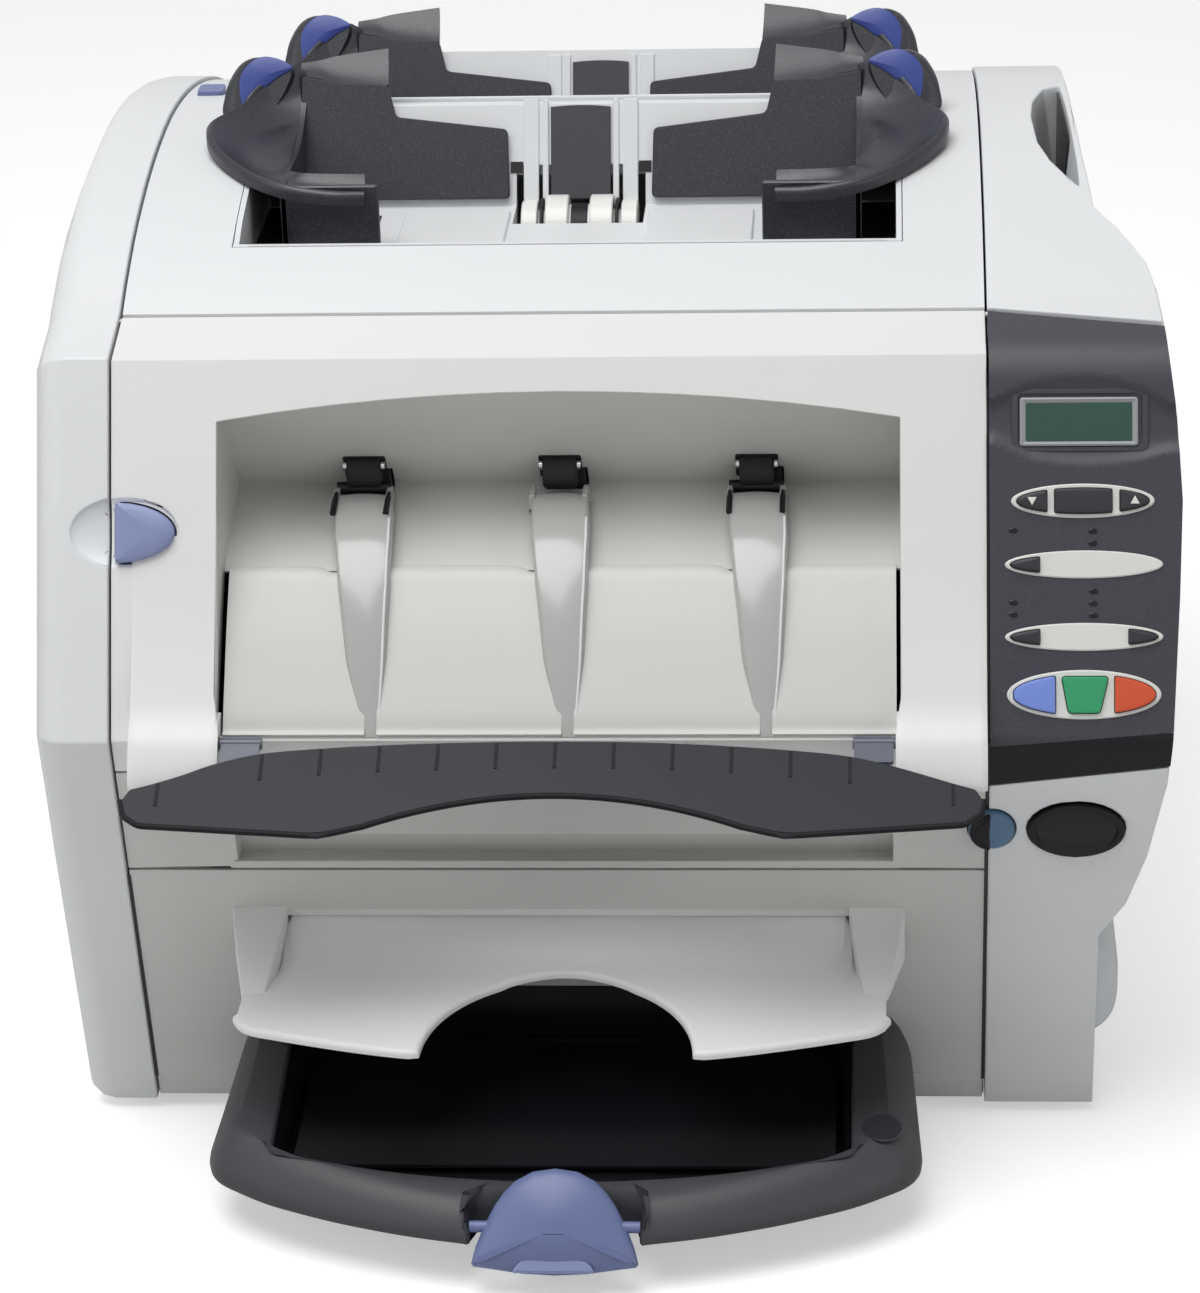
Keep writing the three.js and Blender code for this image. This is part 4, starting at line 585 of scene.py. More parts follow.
# %% Planes and rods
def plane(origin, across, up):
    """Maps outline points and a height to machine millimetres on the plane through origin."""
    origin, across, up = (np.asarray(part, float) for part in (origin, across, up))
    out = np.cross(across, up)
    return lambda flat, height: origin + flat[:, :1] * across + flat[:, 1:] * up + height * out


def tilted(angle):
    """The direction that leans back from upright by an angle, in the plane across the machine."""
    return (0.0, math.sin(angle), math.cos(angle))


FACE = plane((0.0, 0.0, NOSE), (1, 0, 0), tilted(LEAN))
FLAT = plane((0.0, 0.0, 0.0), (1, 0, 0), (0, 1, 0))


def slab(outline, low, high, space=FLAT, ease=None):
    """An outline raised from one height to another; ease is how far its top edge runs in and falls."""
    if ease is None:
        return raised(outline, [(0.0, low), (0.0, high)], space)
    return raised(outline, [(0.0, low), (0.0, high - ease[1]), (ease[0], high)], space)


def both_sides(near, far, y0, y1, radius=0.0):
    """A rectangle on the left and its mirror image on the right."""
    return [rectangle(x0, x1, y0, y1, radius) for x0, x1 in ((-far, -near), (near, far))]


def rod(path, radius, sides=20):
    """A round section carried along a path; its two directions are square to the path's own."""
    path = np.asarray(path, float)
    radius = np.broadcast_to(np.asarray(radius, float), len(path))
    along = np.gradient(path, axis=0)
    along /= np.linalg.norm(along, axis=1, keepdims=True)
    steady = np.where(np.abs(along[:, :1]) > 0.9, (0.0, 0.0, 1.0), (1.0, 0.0, 0.0))
    first = np.cross(along, steady)
    first /= np.linalg.norm(first, axis=1, keepdims=True)
    second = np.cross(along, first)
    angle = np.linspace(0, 2 * math.pi, sides, endpoint=False)[None, :, None]
    turn = np.cos(angle) * first[:, None] + np.sin(angle) * second[:, None]
    return loft(path[:, None] + radius[:, None, None] * turn)


def turned(stations, y, z, sides=36):
    """A lathe profile of (x, radius) stations about an axis along X at (y, z)."""
    stations = np.asarray(stations, float)
    angle = np.linspace(0, 2 * math.pi, sides, endpoint=False)
    ring = np.column_stack([np.zeros(sides), np.cos(angle), np.sin(angle)])
    centre = np.column_stack([stations[:, 0], np.full(len(stations), y), np.full(len(stations), z)])
    return loft(centre[:, None] + stations[:, 1][:, None, None] * ring)


print("straight out of the face", (FACE(np.zeros((1, 2)), 1.0) - FACE(np.zeros((1, 2)), 0.0)).round(3))

# %% [markdown]
# Points and faces aren't a piece yet. The steps that all pieces need could stand beside each shape, but one
# helper can't forget any: it merges doubles, turns the faces outwards, and sets the finish and the body that
# the piece rides on.

# %% New pieces
def add_piece(name, shape, finish_name, body, replaces=None, ease=0.0):
    """Puts (points, faces) in machine millimetres into a mesh; ease rounds its sharp edges."""
    points, faces = shape
    mesh = bpy.data.meshes.new(name)
    mesh.from_pydata(place(points).tolist(), [], faces)
    work = bmesh.new()
    work.from_mesh(mesh)
    bmesh.ops.remove_doubles(work, verts=work.verts, dist=PIECE_MERGE)
    bmesh.ops.recalc_face_normals(work, faces=work.faces)
    work.to_mesh(mesh)
    work.free()
    mesh.materials.append(FINISHES[finish_name])
    piece = bpy.data.objects.new(name, mesh)
    bpy.context.scene.collection.objects.link(piece)
    if ease > 0:
        add_modifier(piece, "edge", "BEVEL", width=ease / 1000.0, segments=3, limit_method="ANGLE",
                     angle_limit=PIECE_EDGE_ANGLE)
    settle(piece)
    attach(piece, body)
    if replaces:
        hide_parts(replaces)


print("measure of the nose", np.round(place((0.0, 0.0, NOSE)), 4))

# %% [markdown]
# The hopper guides are the boldest forms: a wide rim that dips like a saddle, rolls over at its edge
# and rises to a point at the back, where a blue petal sits. Sculpted by hand, the four of them would
# never match. Three curves fix the form instead: the outer rim, the inner collar and the flare behind.
# The bowl between rim and collar is a ruled sheet that sags in the middle, and its outer edge is
# carried on through a quarter circle and straight down as a lip.

# %% Guide curves
GUIDE_REACH, GUIDE_FRONT, GUIDE_RUN = 148.6, 155.0, 43.0
GUIDE_TOP, GUIDE_RISE = 370.0, 19.0
RIM = [(0.544, 0, -0.215), (0.63, -0.047, -0.173), (0.743, 0, -0.079), (0.84, 0.209, 0.017),
       (0.918, 0.488, 0.156), (0.968, 0.767, 0.305), (0.987, 0.977, 0.434), (0.984, 1.186, 0.514),
       (0.921, 1.512, 0.601), (0.891, 1.674, 0.813), (0.848, 1.814, 1.039), (0.792, 1.93, 1.161)]
COLLAR = [(0.547, 0.186, 0.009), (0.636, 0.186, 0.017), (0.723, 0.233, 0.018), (0.765, 0.5, -0.08),
          (0.771, 1.072, -0.121), (0.771, 1.504, 0.124), (0.771, 1.782, 0.489), (0.765, 1.9, 0.85),
          (0.758, 1.93, 1.02)]
FLARE_BACK = [(0.775, 2.06, 1.12), (0.72, 2.12, 1.15), (0.67, 2.14, 1.228), (0.536, 2.163, 1.36)]
FLARE_FRONT = [(0.771, 1.87, 0.97), (0.72, 1.87, 0.9), (0.664, 1.858, 0.805), (0.53, 1.847, 0.753)]
SIDE_TOP = [(1.0, 0.5, -0.08), (1.0, 1.072, -0.121), (1.0, 1.504, 0.124), (1.0, 1.782, 0.489),
            (1.0, 1.87, 0.84)]
GUIDE_LIFT = 0.6
HOPPERS = {"envelope": (0.0, 0.0, 0.0), "insert": (-8.0, 128.0008, -20.0)}


def guide_points(shares):
    """Shares of reach, run and rise turned into machine millimetres."""
    reach, run, rise = np.asarray(shares, float).T
    y = GUIDE_FRONT + GUIDE_RUN * run
    return np.column_stack([GUIDE_REACH * reach, y, GUIDE_TOP + GUIDE_RISE * (rise - 1)])


COVER_SKIN = np.array([(140.0, 338.7), (155.0, 342.9), (170.0, 346.3), (185.0, 349.0), (197.0, 350.5),
                       (210.0, 351.8), (225.0, 352.7), (240.0, 352.8)])
WELL_SIDE, SIDE_BLEND = 114.0, 6.0


def bowl(steps=64, across=12, sag=2.6, roll=2.4, drop=3.0):
    """Collar to rim with a sag of 4t(1-t), then a quarter roll outwards and a straight lip down.

    Outside the well no point lies lower than the cover's skin, so that the guide slides over it.
    """
    rim, collar = smooth_curve(guide_points(RIM), steps), smooth_curve(guide_points(COLLAR), steps)
    away = (rim - collar) * (1, 1, 0)
    away /= np.linalg.norm(away, axis=1, keepdims=True)
    t = np.linspace(0, 1, across)[None, :, None]
    fade = np.sin(np.linspace(0.25, 1.0, steps) * math.pi)[:, None, None].clip(0.0)
    sheet = collar[:, None] * (1 - t) + rim[:, None] * t
    sheet[..., 2:] -= sag * 4 * t * (1 - t) * fade
    angle = np.linspace(0.2, math.pi / 2, 6)[None, :, None]
    edge = rim[:, None] + roll * (np.sin(angle) * away[:, None] - (1 - np.cos(angle)) * (0, 0, 1.0))
    lip = edge[:, -1:] - (0, 0, drop)
    whole = np.concatenate([sheet, edge, lip], axis=1)
    clear = np.repeat([1.5, 0.2], [sheet.shape[1], edge.shape[1] + 1])[None, :]
    least = np.interp(whole[..., 1], *COVER_SKIN.T) + clear
    outside = np.clip((whole[..., 0] - WELL_SIDE) / SIDE_BLEND, 0.0, 1.0)
    whole[..., 2] += outside * np.maximum(least - whole[..., 2], 0.0)
    return whole


print("rim from", guide_points(RIM[:1])[0].round(1), "to", guide_points(RIM[-1:])[0].round(1))

# %% [markdown]
# Under the bowl a side plate stands along the feed, a wing lies on the leaning deck behind the paper,
# and a short flange closes the front. They could be cut from boxes. As flat outlines with eased corners
# and a wall they come out the way that such plates are moulded.

# %% Guide plates
DECK_ANGLE = math.atan2(17.0, 37.5)
WELL_FLOOR = NOSE + 138.0
DECK = plane((0.0, 216.0, WELL_FLOOR), (1, 0, 0), tilted(DECK_ANGLE))
SIDEWAYS = plane((0.0, 0.0, 0.0), (0, 1, 0), (0, 0, 1))
PLATE_RIGHT, PLATE_WALL = 114.6, 2.2


def guide_plates():
    """Side plate, wing on the deck and front flange, as raised outlines in machine millimetres."""
    low, high = WELL_FLOOR + 0.8, WELL_FLOOR + 28.8
    side_top = smooth_curve(guide_points(SIDE_TOP), 16)[:, 1:]
    side = np.vstack([[(GUIDE_FRONT, low), (GUIDE_FRONT, high)], side_top, [(213.8, low)]])
    wing = [(29.0, 2.0), (PLATE_RIGHT, 2.0), (PLATE_RIGHT, 53.0), (98.6, 49.8), (78.8, 49.0), (75.6, 35.8),
            (29.8, 30.3)]
    flange = rectangle(75.6, PLATE_RIGHT, low, high, 1.5)
    upright = plane((0.0, GUIDE_FRONT + PLATE_WALL, 0.0), (1, 0, 0), (0, 0, 1))
    return joined(
        slab(side, PLATE_RIGHT - PLATE_WALL, PLATE_RIGHT, SIDEWAYS),
        slab(rounded(wing, 2.2), 0.8, 3.0, DECK, (0.5, 0.5)),
        slab(flange, 0.0, PLATE_WALL, upright, (0.5, 0.5)),
    )


def flare():
    """A ruled sheet between its rear and front curves, hollowed a little in the middle."""
    back, front = (smooth_curve(guide_points(curve), 20) for curve in (FLARE_BACK, FLARE_FRONT))
    t = np.linspace(0, 1, 8)[None, :, None]
    sheet = back[:, None] * (1 - t) + front[:, None] * t
    sheet[..., 2:] -= 1.2 * 4 * t * (1 - t)
    return sheet


def closed_curve(corners, steps):
    """A Catmull-Rom curve through the corners and back to the first, at even shares."""
    corners = np.asarray(corners, float)
    whole = smooth_curve(np.vstack([corners[-2:], corners, corners[:2]]), steps * 8)
    spans = len(corners) + 3
    kept = whole[int(len(whole) * 2 / spans):int(len(whole) * (len(corners) + 2) / spans)]
    return kept[np.linspace(0, len(kept) - 1, steps + 1).astype(int)[:-1]]


def mirrored(points):
    """The points of half an outline on the other side, in turn from its last but one back to its first."""
    return [(-x, y) for x, y in points[-2::-1]]


def moved(shape, shift, mirror=False):
    """The shape shifted, and turned to its mirror image across the middle plane if asked."""
    points, faces = shape
    points = points + np.asarray(shift)
    return (points * (-1, 1, 1), faces) if mirror else (points, faces)


PETAL = plane((0.0, 228.0, GUIDE_TOP - 9.12), (1, 0, 0), tilted(LEAN))
CAP = [(146.4, -5.0), (146.0, 2.9), (144.2, 8.9), (141.1, 14.2), (138.1, 17.0), (133.9, 18.6), (129.6, 18.5),
       (124.2, 17.4), (117.4, 13.9), (119.5, 5.0), (128.0, -6.0), (138.0, -8.0)]
LEAF = [(137.7, -5.0), (139.4, 2.8), (140.0, 7.6), (138.5, 13.4), (136.4, 16.4), (133.2, 17.7),
        (129.2, 17.6), (124.2, 16.5), (118.2, 13.3), (120.4, 5.0), (127.0, -5.0), (133.0, -7.0)]
BLADE = [(138.0, -2.0), (139.4, 5.6), (138.7, 11.0), (135.2, 15.8), (130.4, 18.2), (125.6, 18.0),
         (120.8, 16.3), (117.4, 13.5), (122.9, 10.2), (129.8, 4.8), (135.2, 0.1)]
cap_ring, leaf_ring = closed_curve(CAP, 60), closed_curve(LEAF, 60)
cap_rings = [(cap_ring, -7.0), (cap_ring, -3.2), (cap_ring * 0.8 + leaf_ring * 0.2, -1.6),
             (cap_ring * 0.45 + leaf_ring * 0.55, -0.2), (leaf_ring, 0.7)]
petal_cap = loft([PETAL(ring, height) for ring, height in cap_rings])
petal_ring = turned_left(closed_curve(BLADE, 60))
petal = raised(petal_ring, [(0.0, 0.3), (0.0, 1.1), (0.3, 1.5), (0.8, 1.7)], PETAL, crown=0.8)
guide_shape = joined(shell(bowl(), -1.8), shell(flare(), 2.0), guide_plates(), petal_cap)
for hopper, (narrow, back, rise) in HOPPERS.items():
    for side, mirror in (("right", False), ("left", True)):
        guide = f"{hopper}_guide_{side}"
        shift = (narrow, back, rise + GUIDE_LIFT)
        add_piece(guide + "_moulding", moved(guide_shape, shift, mirror), "guide_dark", guide,
                  replaces=guide)
        add_piece(f"{hopper}_petal_{side}_domed", moved(petal, shift, mirror), "petal_blue", guide,
                  replaces=f"{hopper}_petal_{side}")
print("guides", len(HOPPERS) * 2, "points each", len(guide_shape[0]))

# %% [markdown]
# The control panel is one skin that runs from under the nose of the front, over the crease and onto the
# top. Flat boards that meet at the bends would show a line there, so the side profile is a path with
# eased corners, and its right edge follows the end of the cover. A lens-shaped dish is pressed into it
# round the display. Cut out by a second shape it would have a hard rim, but here the skin itself sinks
# gently between two curves and is deepest midway.

# %% Panel skin
PANEL_LEFT = 162.2
COVER_END = np.array([(105.1, 215.0), (127.6, 222.2), (162.3, 228.7), (193.5, 230.5), (231.7, 232.6),
                      (262.9, 233.7), (290.6, 231.9), (315.9, 228.3), (328.7, 225.1)])
COVER_PLAN = np.array([(50.4, 233.7), (71.4, 231.5), (91.1, 227.6), (100.0, 226.2)])
SKIN_OUT, DISH_DEPTH = 1.6, 2.2
side = np.array([(4.1, 162.0), (0.0, NOSE), (63.0, 312.0), (93.0, 319.0)])
side_out = np.array([(-1.0, 0.0), (-0.98, 0.0), (-0.68, 0.85), (-0.23, 0.97)])
lower, nose, crease, upper = side + SKIN_OUT * side_out
panel_path = eased_path([lower, nose, crease, upper], [2.5, 12.0])
panel_run = along(panel_path) - np.linalg.norm(nose - lower)
DISH_X = [164.3, 176.4, 187.0, 198.0, 208.0, 217.8, 229.5]
DISH_HIGH = [128.0, 133.6, 135.6, 136.2, 135.2, 132.6, 125.8]
DISH_LOW = [112.2, 106.1, 104.0, 103.3, 103.8, 105.2, 108.4]


def panel_grid(low, high, rows, columns=72):
    """Across and up the skin; the dish is its depth times one minus a fourth power of its share."""
    u = np.linspace(0.0, 1.0, columns)[None, :]
    v = np.linspace(0.0, 1.0, rows)[:, None]
    up = (low[0] + (low[1] - low[0]) * u) * (1 - v) + (high[0] + (high[1] - high[0]) * u) * v
    y, z = (np.interp(up, panel_run, panel_path[:, axis]) for axis in (0, 1))
    end = np.minimum(np.interp(z, *COVER_END.T), np.interp(y, *COVER_PLAN.T)) + 0.15
    x = PANEL_LEFT + (end - PANEL_LEFT) * u
    low_edge, high_edge = np.interp(x, DISH_X, DISH_LOW), np.interp(x, DISH_X, DISH_HIGH)
    share = np.clip((up - low_edge) / (high_edge - low_edge), 0.0, 1.0)
    sunk = DISH_DEPTH * (1 - (2 * share - 1) ** 4)
    return np.stack([x, y + sunk * math.cos(LEAN), z - sunk * math.sin(LEAN)], axis=-1)


face_grid = panel_grid((-2.2, 3.3), (171.5, 160.4), 110)
foot_grid = panel_grid((-20.2, -11.4), (-2.3, 3.2), 14)
add_piece("panel_skin", shell(face_grid, -3.0), "panel_dark", "machine",
          replaces="control_panel")
# The band under the nose is the panel skin made near black: painted shade, since it faces down.
add_piece("panel_underside_shade", shell(foot_grid, -3.0), "clip_black_and_shade", "machine")
print("panel", face_grid.shape, "reaches x", face_grid[..., 0].max().round(1))

# %% [markdown]
# The keys sit in long pale ovals. Each could be drawn point by point. A key is the part of a smaller
# oval between two upright cuts instead, so its ends follow the oval, and its top is eased and slightly
# domed.

# %% Keys and lamps
def oval_part(x, y, wide, tall, x0, x1, steps=14):
    """The part of an ellipse between x0 and x1, with its corners eased."""
    across = np.linspace(max(x0, x - wide), min(x1, x + wide), steps)
    rise = tall * np.sqrt(np.clip(1 - ((across - x) / wide) ** 2, 0.0016, 1.0))
    lower = np.column_stack([across, y - rise])
    upper = np.column_stack([across, y + rise])[::-1]
    return rounded(np.concatenate([lower, upper]), 0.5, 3)


RINGS = [(196.8, 89.2, 26.6, 6.4), (197.1, 65.5, 29.3, 5.2), (197.1, 38.5, 29.3, 5.2),
         (197.0, 17.0, 28.6, 9.2)]
KEYS = {
    "key_down": (0, 172.3, 183.4), "key_menu": (0, 186.4, 207.5), "key_up": (0, 210.6, 221.3),
    "key_feeder": (1, 169.6, 180.6), "key_seal": (2, 169.8, 180.6), "key_fold": (2, 213.7, 224.6),
    "key_trial": (3, 170.9, 186.3), "key_stop": (3, 208.4, 223.4),
}
KEY_FINISH = {"key_trial": "key_blue", "key_start": "key_green", "key_stop": "key_red"}
rings = [slab(oval(*ring, 64), 0.8, 2.3, FACE, (0.5, 0.4)) for ring in RINGS]
add_piece("panel_rings", joined(*rings), "ring_pale", "machine")
key_outlines = {"key_start": rounded([(191.2, 10.1), (202.8, 10.1), (206.0, 23.7), (188.7, 23.7)], 1.6)}
for key, (ring, x0, x1) in KEYS.items():
    x, y, wide, tall = RINGS[ring]
    key_outlines[key] = oval_part(x, y, wide - 2.0, tall - 1.7, x0, x1)
for key, outline in key_outlines.items():
    look = KEY_FINISH.get(key, "key_black")
    gap = slab(inset(outline, -0.35), 2.2, 2.36, FACE)
    add_piece(key + "_shadow_gap", gap, "pocket_black_and_shadow", "machine")
    shape = raised(outline, [(0.0, -2.8), (0.0, 3.4), (0.25, 3.8), (0.7, 3.95)], FACE, crown=0.15)
    add_piece(key + "_cap", shape, look, key, replaces=key)
for key, x, turn in (("key_down", 177.9, -1.0), ("key_up", 216.0, 1.0)):
    arrow = np.array([(x - 1.7, 89.3 - 1.3 * turn), (x + 1.7, 89.3 - 1.3 * turn), (x, 89.3 + 1.7 * turn)])
    shape = slab(arrow, 3.9, 4.22, FACE)
    add_piece(key + "_arrow", shape, "ring_pale", key)
LAMPS = [(170.9, 78.3), (200.4, 77.9), (200.4, 73.4), (200.6, 55.5), (200.5, 51.0), (200.5, 46.5),
         (170.9, 51.4), (170.9, 46.9)]
lamps = [slab(oval(x, y, 1.7, 1.0, 20), 1.0, 2.0, FACE, (0.3, 0.2)) for x, y in LAMPS]
add_piece("panel_lamps", joined(*lamps), "window_dark", "machine")
print("keys", len(key_outlines), "lamps", len(LAMPS))

# %% [markdown]
# The display lies behind a dark frame and a pale bezel that slopes down to the glass. A hole cut in a
# plate would have upright walls. Rings joined in a loop give a frame of any section, so the bezel can
# slope.

# %% Display frame
frame_out = rectangle(170.6, 221.4, 107.6, 131.2, 3.0)
frame_in = rectangle(173.0, 219.0, 109.6, 129.2, 2.0)
add_piece("display_frame", band(frame_out, frame_in, -0.9, 0.4, FACE), "panel_dark", "machine",
          ease=0.4)
bezel_out = rectangle(173.6, 217.4, 109.8, 127.9, 1.2)
bezel_in = rectangle(175.8, 215.2, 111.6, 125.8, 0.3)
rings = [FACE(bezel_out, -0.9), FACE(bezel_out, 0.9), FACE(inset(bezel_out, 0.7), 1.2), FACE(bezel_in, 0.55),
         FACE(bezel_in, -0.9)]
add_piece("display_bezel", looped(rings), "bezel_grey", "machine")
glass = slab(bezel_in, 0.0, 0.8, FACE)
add_piece("display_glass", glass, "display_green", "machine", replaces="display")
print("display", np.ptp(bezel_in, axis=0).round(1), "mm")

# %% [markdown]
# The release button is half an oval that sits in the pale dish at the left seam, a dark line round it.
# Cutting the button's shape out of a plate leaves uneven faces. Here the hole and the button are both
# read off at the same angles round one middle, and a band of even faces joins them.

# %% Release button
def around(outline, middle, steps=72):
    """The outline at even angles round a middle, from its radius as a function of the angle."""
    fine = resampled(outline, 600) - middle
    angle, reach = np.arctan2(fine[:, 1], fine[:, 0]), np.linalg.norm(fine, axis=1)
    order = np.argsort(angle)
    turn = np.linspace(-math.pi, math.pi, steps, endpoint=False)
    radius = np.interp(turn, angle[order], reach[order], period=2 * math.pi)
    return middle + radius[:, None] * np.column_stack([np.cos(turn), np.sin(turn)])


angle = np.linspace(-math.pi / 2, math.pi / 2, 30)
half = np.column_stack([-167.2 + 22.4 * np.cos(angle), 79.0 + 11.4 * np.sin(angle)])
button = rounded(half, 0.8, 3)
BUTTON_MIDDLE = np.array((-158.0, 79.0))
steps = [(0.0, -5.2), (0.0, 1.6), (0.5, 2.4), (1.4, 2.9)]
add_piece("door_button_domed", raised(button, steps, FACE, crown=1.0), "light_blue", "door_button",
          replaces="door_button")
hole = around(rounded([(-167.6, 67.3), (-155.9, 67.3), (-144.2, 73.0), (-144.2, 85.0), (-155.9, 90.7),
                       (-167.6, 90.7)], 4.5), BUTTON_MIDDLE)
mouth = around(inset(turned_left(button), -0.7), BUTTON_MIDDLE)
add_piece("button_surround", band(inset(hole, -0.6), mouth, -2.4, -0.9, FACE), "beige_cover", "front_door",
          ease=0.2)
print("button", np.ptp(button, axis=0).round(1), "mm")

# %% [markdown]
# The flap under the exit is a sheet of smoked plastic: its back edge is an arc, its front edge has two
# points and an arch between them. Clear glass would show the pale chamber through it, so the finish is
# dark and lets only a little light through. Fine ribs stand under it, and a rod along its front edge
# makes that edge thicker and darker.

# %% Smoked flap
FLAP_TILT = math.radians(25.0)
FLAP_DOWN = (0.0, -math.cos(FLAP_TILT), -math.sin(FLAP_TILT))
FLAP = plane((0.0, -3.0, NOSE + 3.5), (1, 0, 0), FLAP_DOWN)
share = np.linspace(-1.0, 1.0, 41)
BACK_EDGE = [(-158.4, 25.0), (-152.0, 23.0), (-140.0, 18.4), (-128.0, 13.0), (-111.0, 8.0), (-85.0, 5.2),
             (-58.0, 3.6), (-30.0, 2.6), (0.0, 2.2), (30.0, 2.6), (60.0, 4.2), (90.0, 6.8), (112.0, 10.0),
             (130.0, 15.6), (147.0, 22.0), (156.2, 25.2)]
flap_back = smooth_curve(BACK_EDGE, 90)
arch = np.column_stack([70.0 * share[::-1], 28.5 + 14.5 * share[::-1] ** 2])
flap_front = np.vstack([[(159.2, 31.0), (158.2, 37.5), (152.0, 42.2), (86.0, 47.4)], arch,
                        [(-86.0, 47.4), (-153.8, 42.6), (-159.6, 38.2), (-161.4, 31.0)]])
flap_outline = np.vstack([flap_back, flap_front])
sheet = raised(rounded(flap_outline, 1.2, 3), [(0.4, 0.0), (0.0, 0.4), (0.0, 1.6), (0.4, 2.0)], FLAP)
arms = []
for x0, x1 in ((111.5, 126.2), (-126.2, -111.5)):
    arms.append(slab(rectangle(x0, x1, 0.0, 12.5, 1.5), 0.1, 2.0, FLAP))
    side = math.copysign(1.0, x0)
    arms.append(rod([(side * x, -4.0, NOSE + 1.0) for x in (111.0, 118.0, 124.0, 131.0)], 2.3))
add_piece("flap_hinge_tabs", joined(*arms), "smoke_tab", "exit_flap")
add_piece("exit_flap_sheet", sheet, "smoke", "exit_flap", replaces="exit_flap")
ribs = []
for x in (*np.arange(-110.0, 111.0, 22.0), -148.0, 148.0):
    start = np.interp(x, flap_back[:, 0], flap_back[:, 1])
    blade = rectangle(x - 0.65, x + 0.65, start + 1.0, min(start + 13.0, 33.0))
    ribs.append(slab(blade, -0.3, 3.6, FLAP))
line = np.vstack([eased_path(flap_front[:5], [1.5, 2.0, 6.0]), arch[1:-1],
                  eased_path(flap_front[-5:], [6.0, 2.0, 1.5])])
edge = FLAP(line + np.array((0.0, -1.0)), 1.0)
add_piece("flap_ribs", joined(*ribs), "smoke_edge", "exit_flap")
add_piece("flap_front_edge", rod(edge, 1.25, 12), "smoke_edge", "exit_flap")
print("flap", np.ptp(flap_outline, axis=0).round(1), "mm, ribs", len(ribs))

# %% [markdown]
# Inside the exit, four smooth panels lean back between three long fingers. A panel's top edge rolls
# over backwards and its upper corners fall away, as a sheet of moulded plastic does. A bevel gives one
# or the other. A side profile swept across, and let down beside the fingers, gives both.

# %% Exit panels
SLOPE_DOWN = np.array((0.0, -0.648, -0.762))
panel_side = smooth_curve([(50.4, 227.0), (49.4, 230.2), (46.6, 232.0), (43.0, 231.2), (38.0, 226.6),
                           (27.0, 215.0), (15.0, 200.8), (6.4, 190.4), (3.0, 185.4), (0.8, 183.6)], 60)
FINGERS = (-76.0, 0.0, 76.0)
FINGER_SHIFT, CORNER_START, CORNER_WIDTH, CORNER_DROP = -1.8, 10.5, 9.0, 7.0


def exit_panel(x0, x1, columns=48):
    """The side profile swept across; beside a finger the top sinks down the slope by a quarter circle."""
    x = np.linspace(x0, x1, columns)
    beside = np.min([np.abs(x - middle - FINGER_SHIFT) for middle in FINGERS], axis=0)
    near = np.clip(1 - (beside - CORNER_START) / CORNER_WIDTH, 0.0, 1.0)
    sink = CORNER_DROP * (1 - np.sqrt(1 - near**2 * 0.96))
    weight = np.linspace(1.0, -1.4, len(panel_side)).clip(0.0)
    return swept(panel_side, x) + (weight[:, None] * sink[None, :])[..., None] * SLOPE_DOWN


panel_edges = [(-126.4, -72.7), (-68.1, 1.8), (6.4, 76.3), (80.9, 127.4)]
panels = [shell(exit_panel(x0, x1), -1.6) for x0, x1 in panel_edges]
panels.append(slab(rectangle(-128.6, 128.6, -0.6, 7.0), 181.7, 183.1, FLAT, (0.5, 0.5)))
# The panels take a darker copy of the cover plastic: painted shade inside the exit.
add_piece("exit_panels", joined(*panels), "chamber_shade_grey", "front_door", replaces="exit_apron")
print("exit panels", len(panels))

# %% [markdown]
# A finger is one section carried along its upper line: broad and flat under the roller, narrow at the tip
# and crowned across, and a thin pale rod along its right side, where it turns down, is a painted highlight.
# A box squeezed at one end would have straight sides and a flat top, so each ring reads its own width off a
# short table.

# %% Exit fingers
finger_line = smooth_curve([(79.0, 247.4), (77.4, 249.8), (73.0, 250.2), (66.0, 249.2), (56.0, 246.6),
                            (46.0, 241.8), (36.0, 234.0), (26.0, 222.6), (15.5, 207.4), (8.0, 195.4),
                            (0.6, 183.4)], 56)
SECTION = np.array([(-1.04, -1.0), (-1.03, -0.5), (-1.0, -0.1), (-0.95, 0.0), (-0.85, 0.05), (-0.4, 0.1),
                    (0.0, 0.12), (0.4, 0.1), (0.8, 0.04), (0.93, -0.02), (1.0, -0.14), (1.03, -0.5),
                    (1.04, -1.0)])
finger_run = np.linspace(0.0, 1.0, len(finger_line))
HALF_WIDTHS = np.array([(0.0, 11.0), (0.3, 10.9), (0.45, 10.6), (0.62, 9.2), (0.8, 6.6), (1.0, 2.8)])
finger_half = np.interp(finger_run, *HALF_WIDTHS.T)[:, None]
FOOT_DEPTH, TIP_DEPTH = 8.0, 4.0


def finger_middle(x, share):
    """The middle of a finger at a share of its length: the tips lean to the right."""
    return x - 2.0 + (6.1 - 0.02 * x) * share**1.5


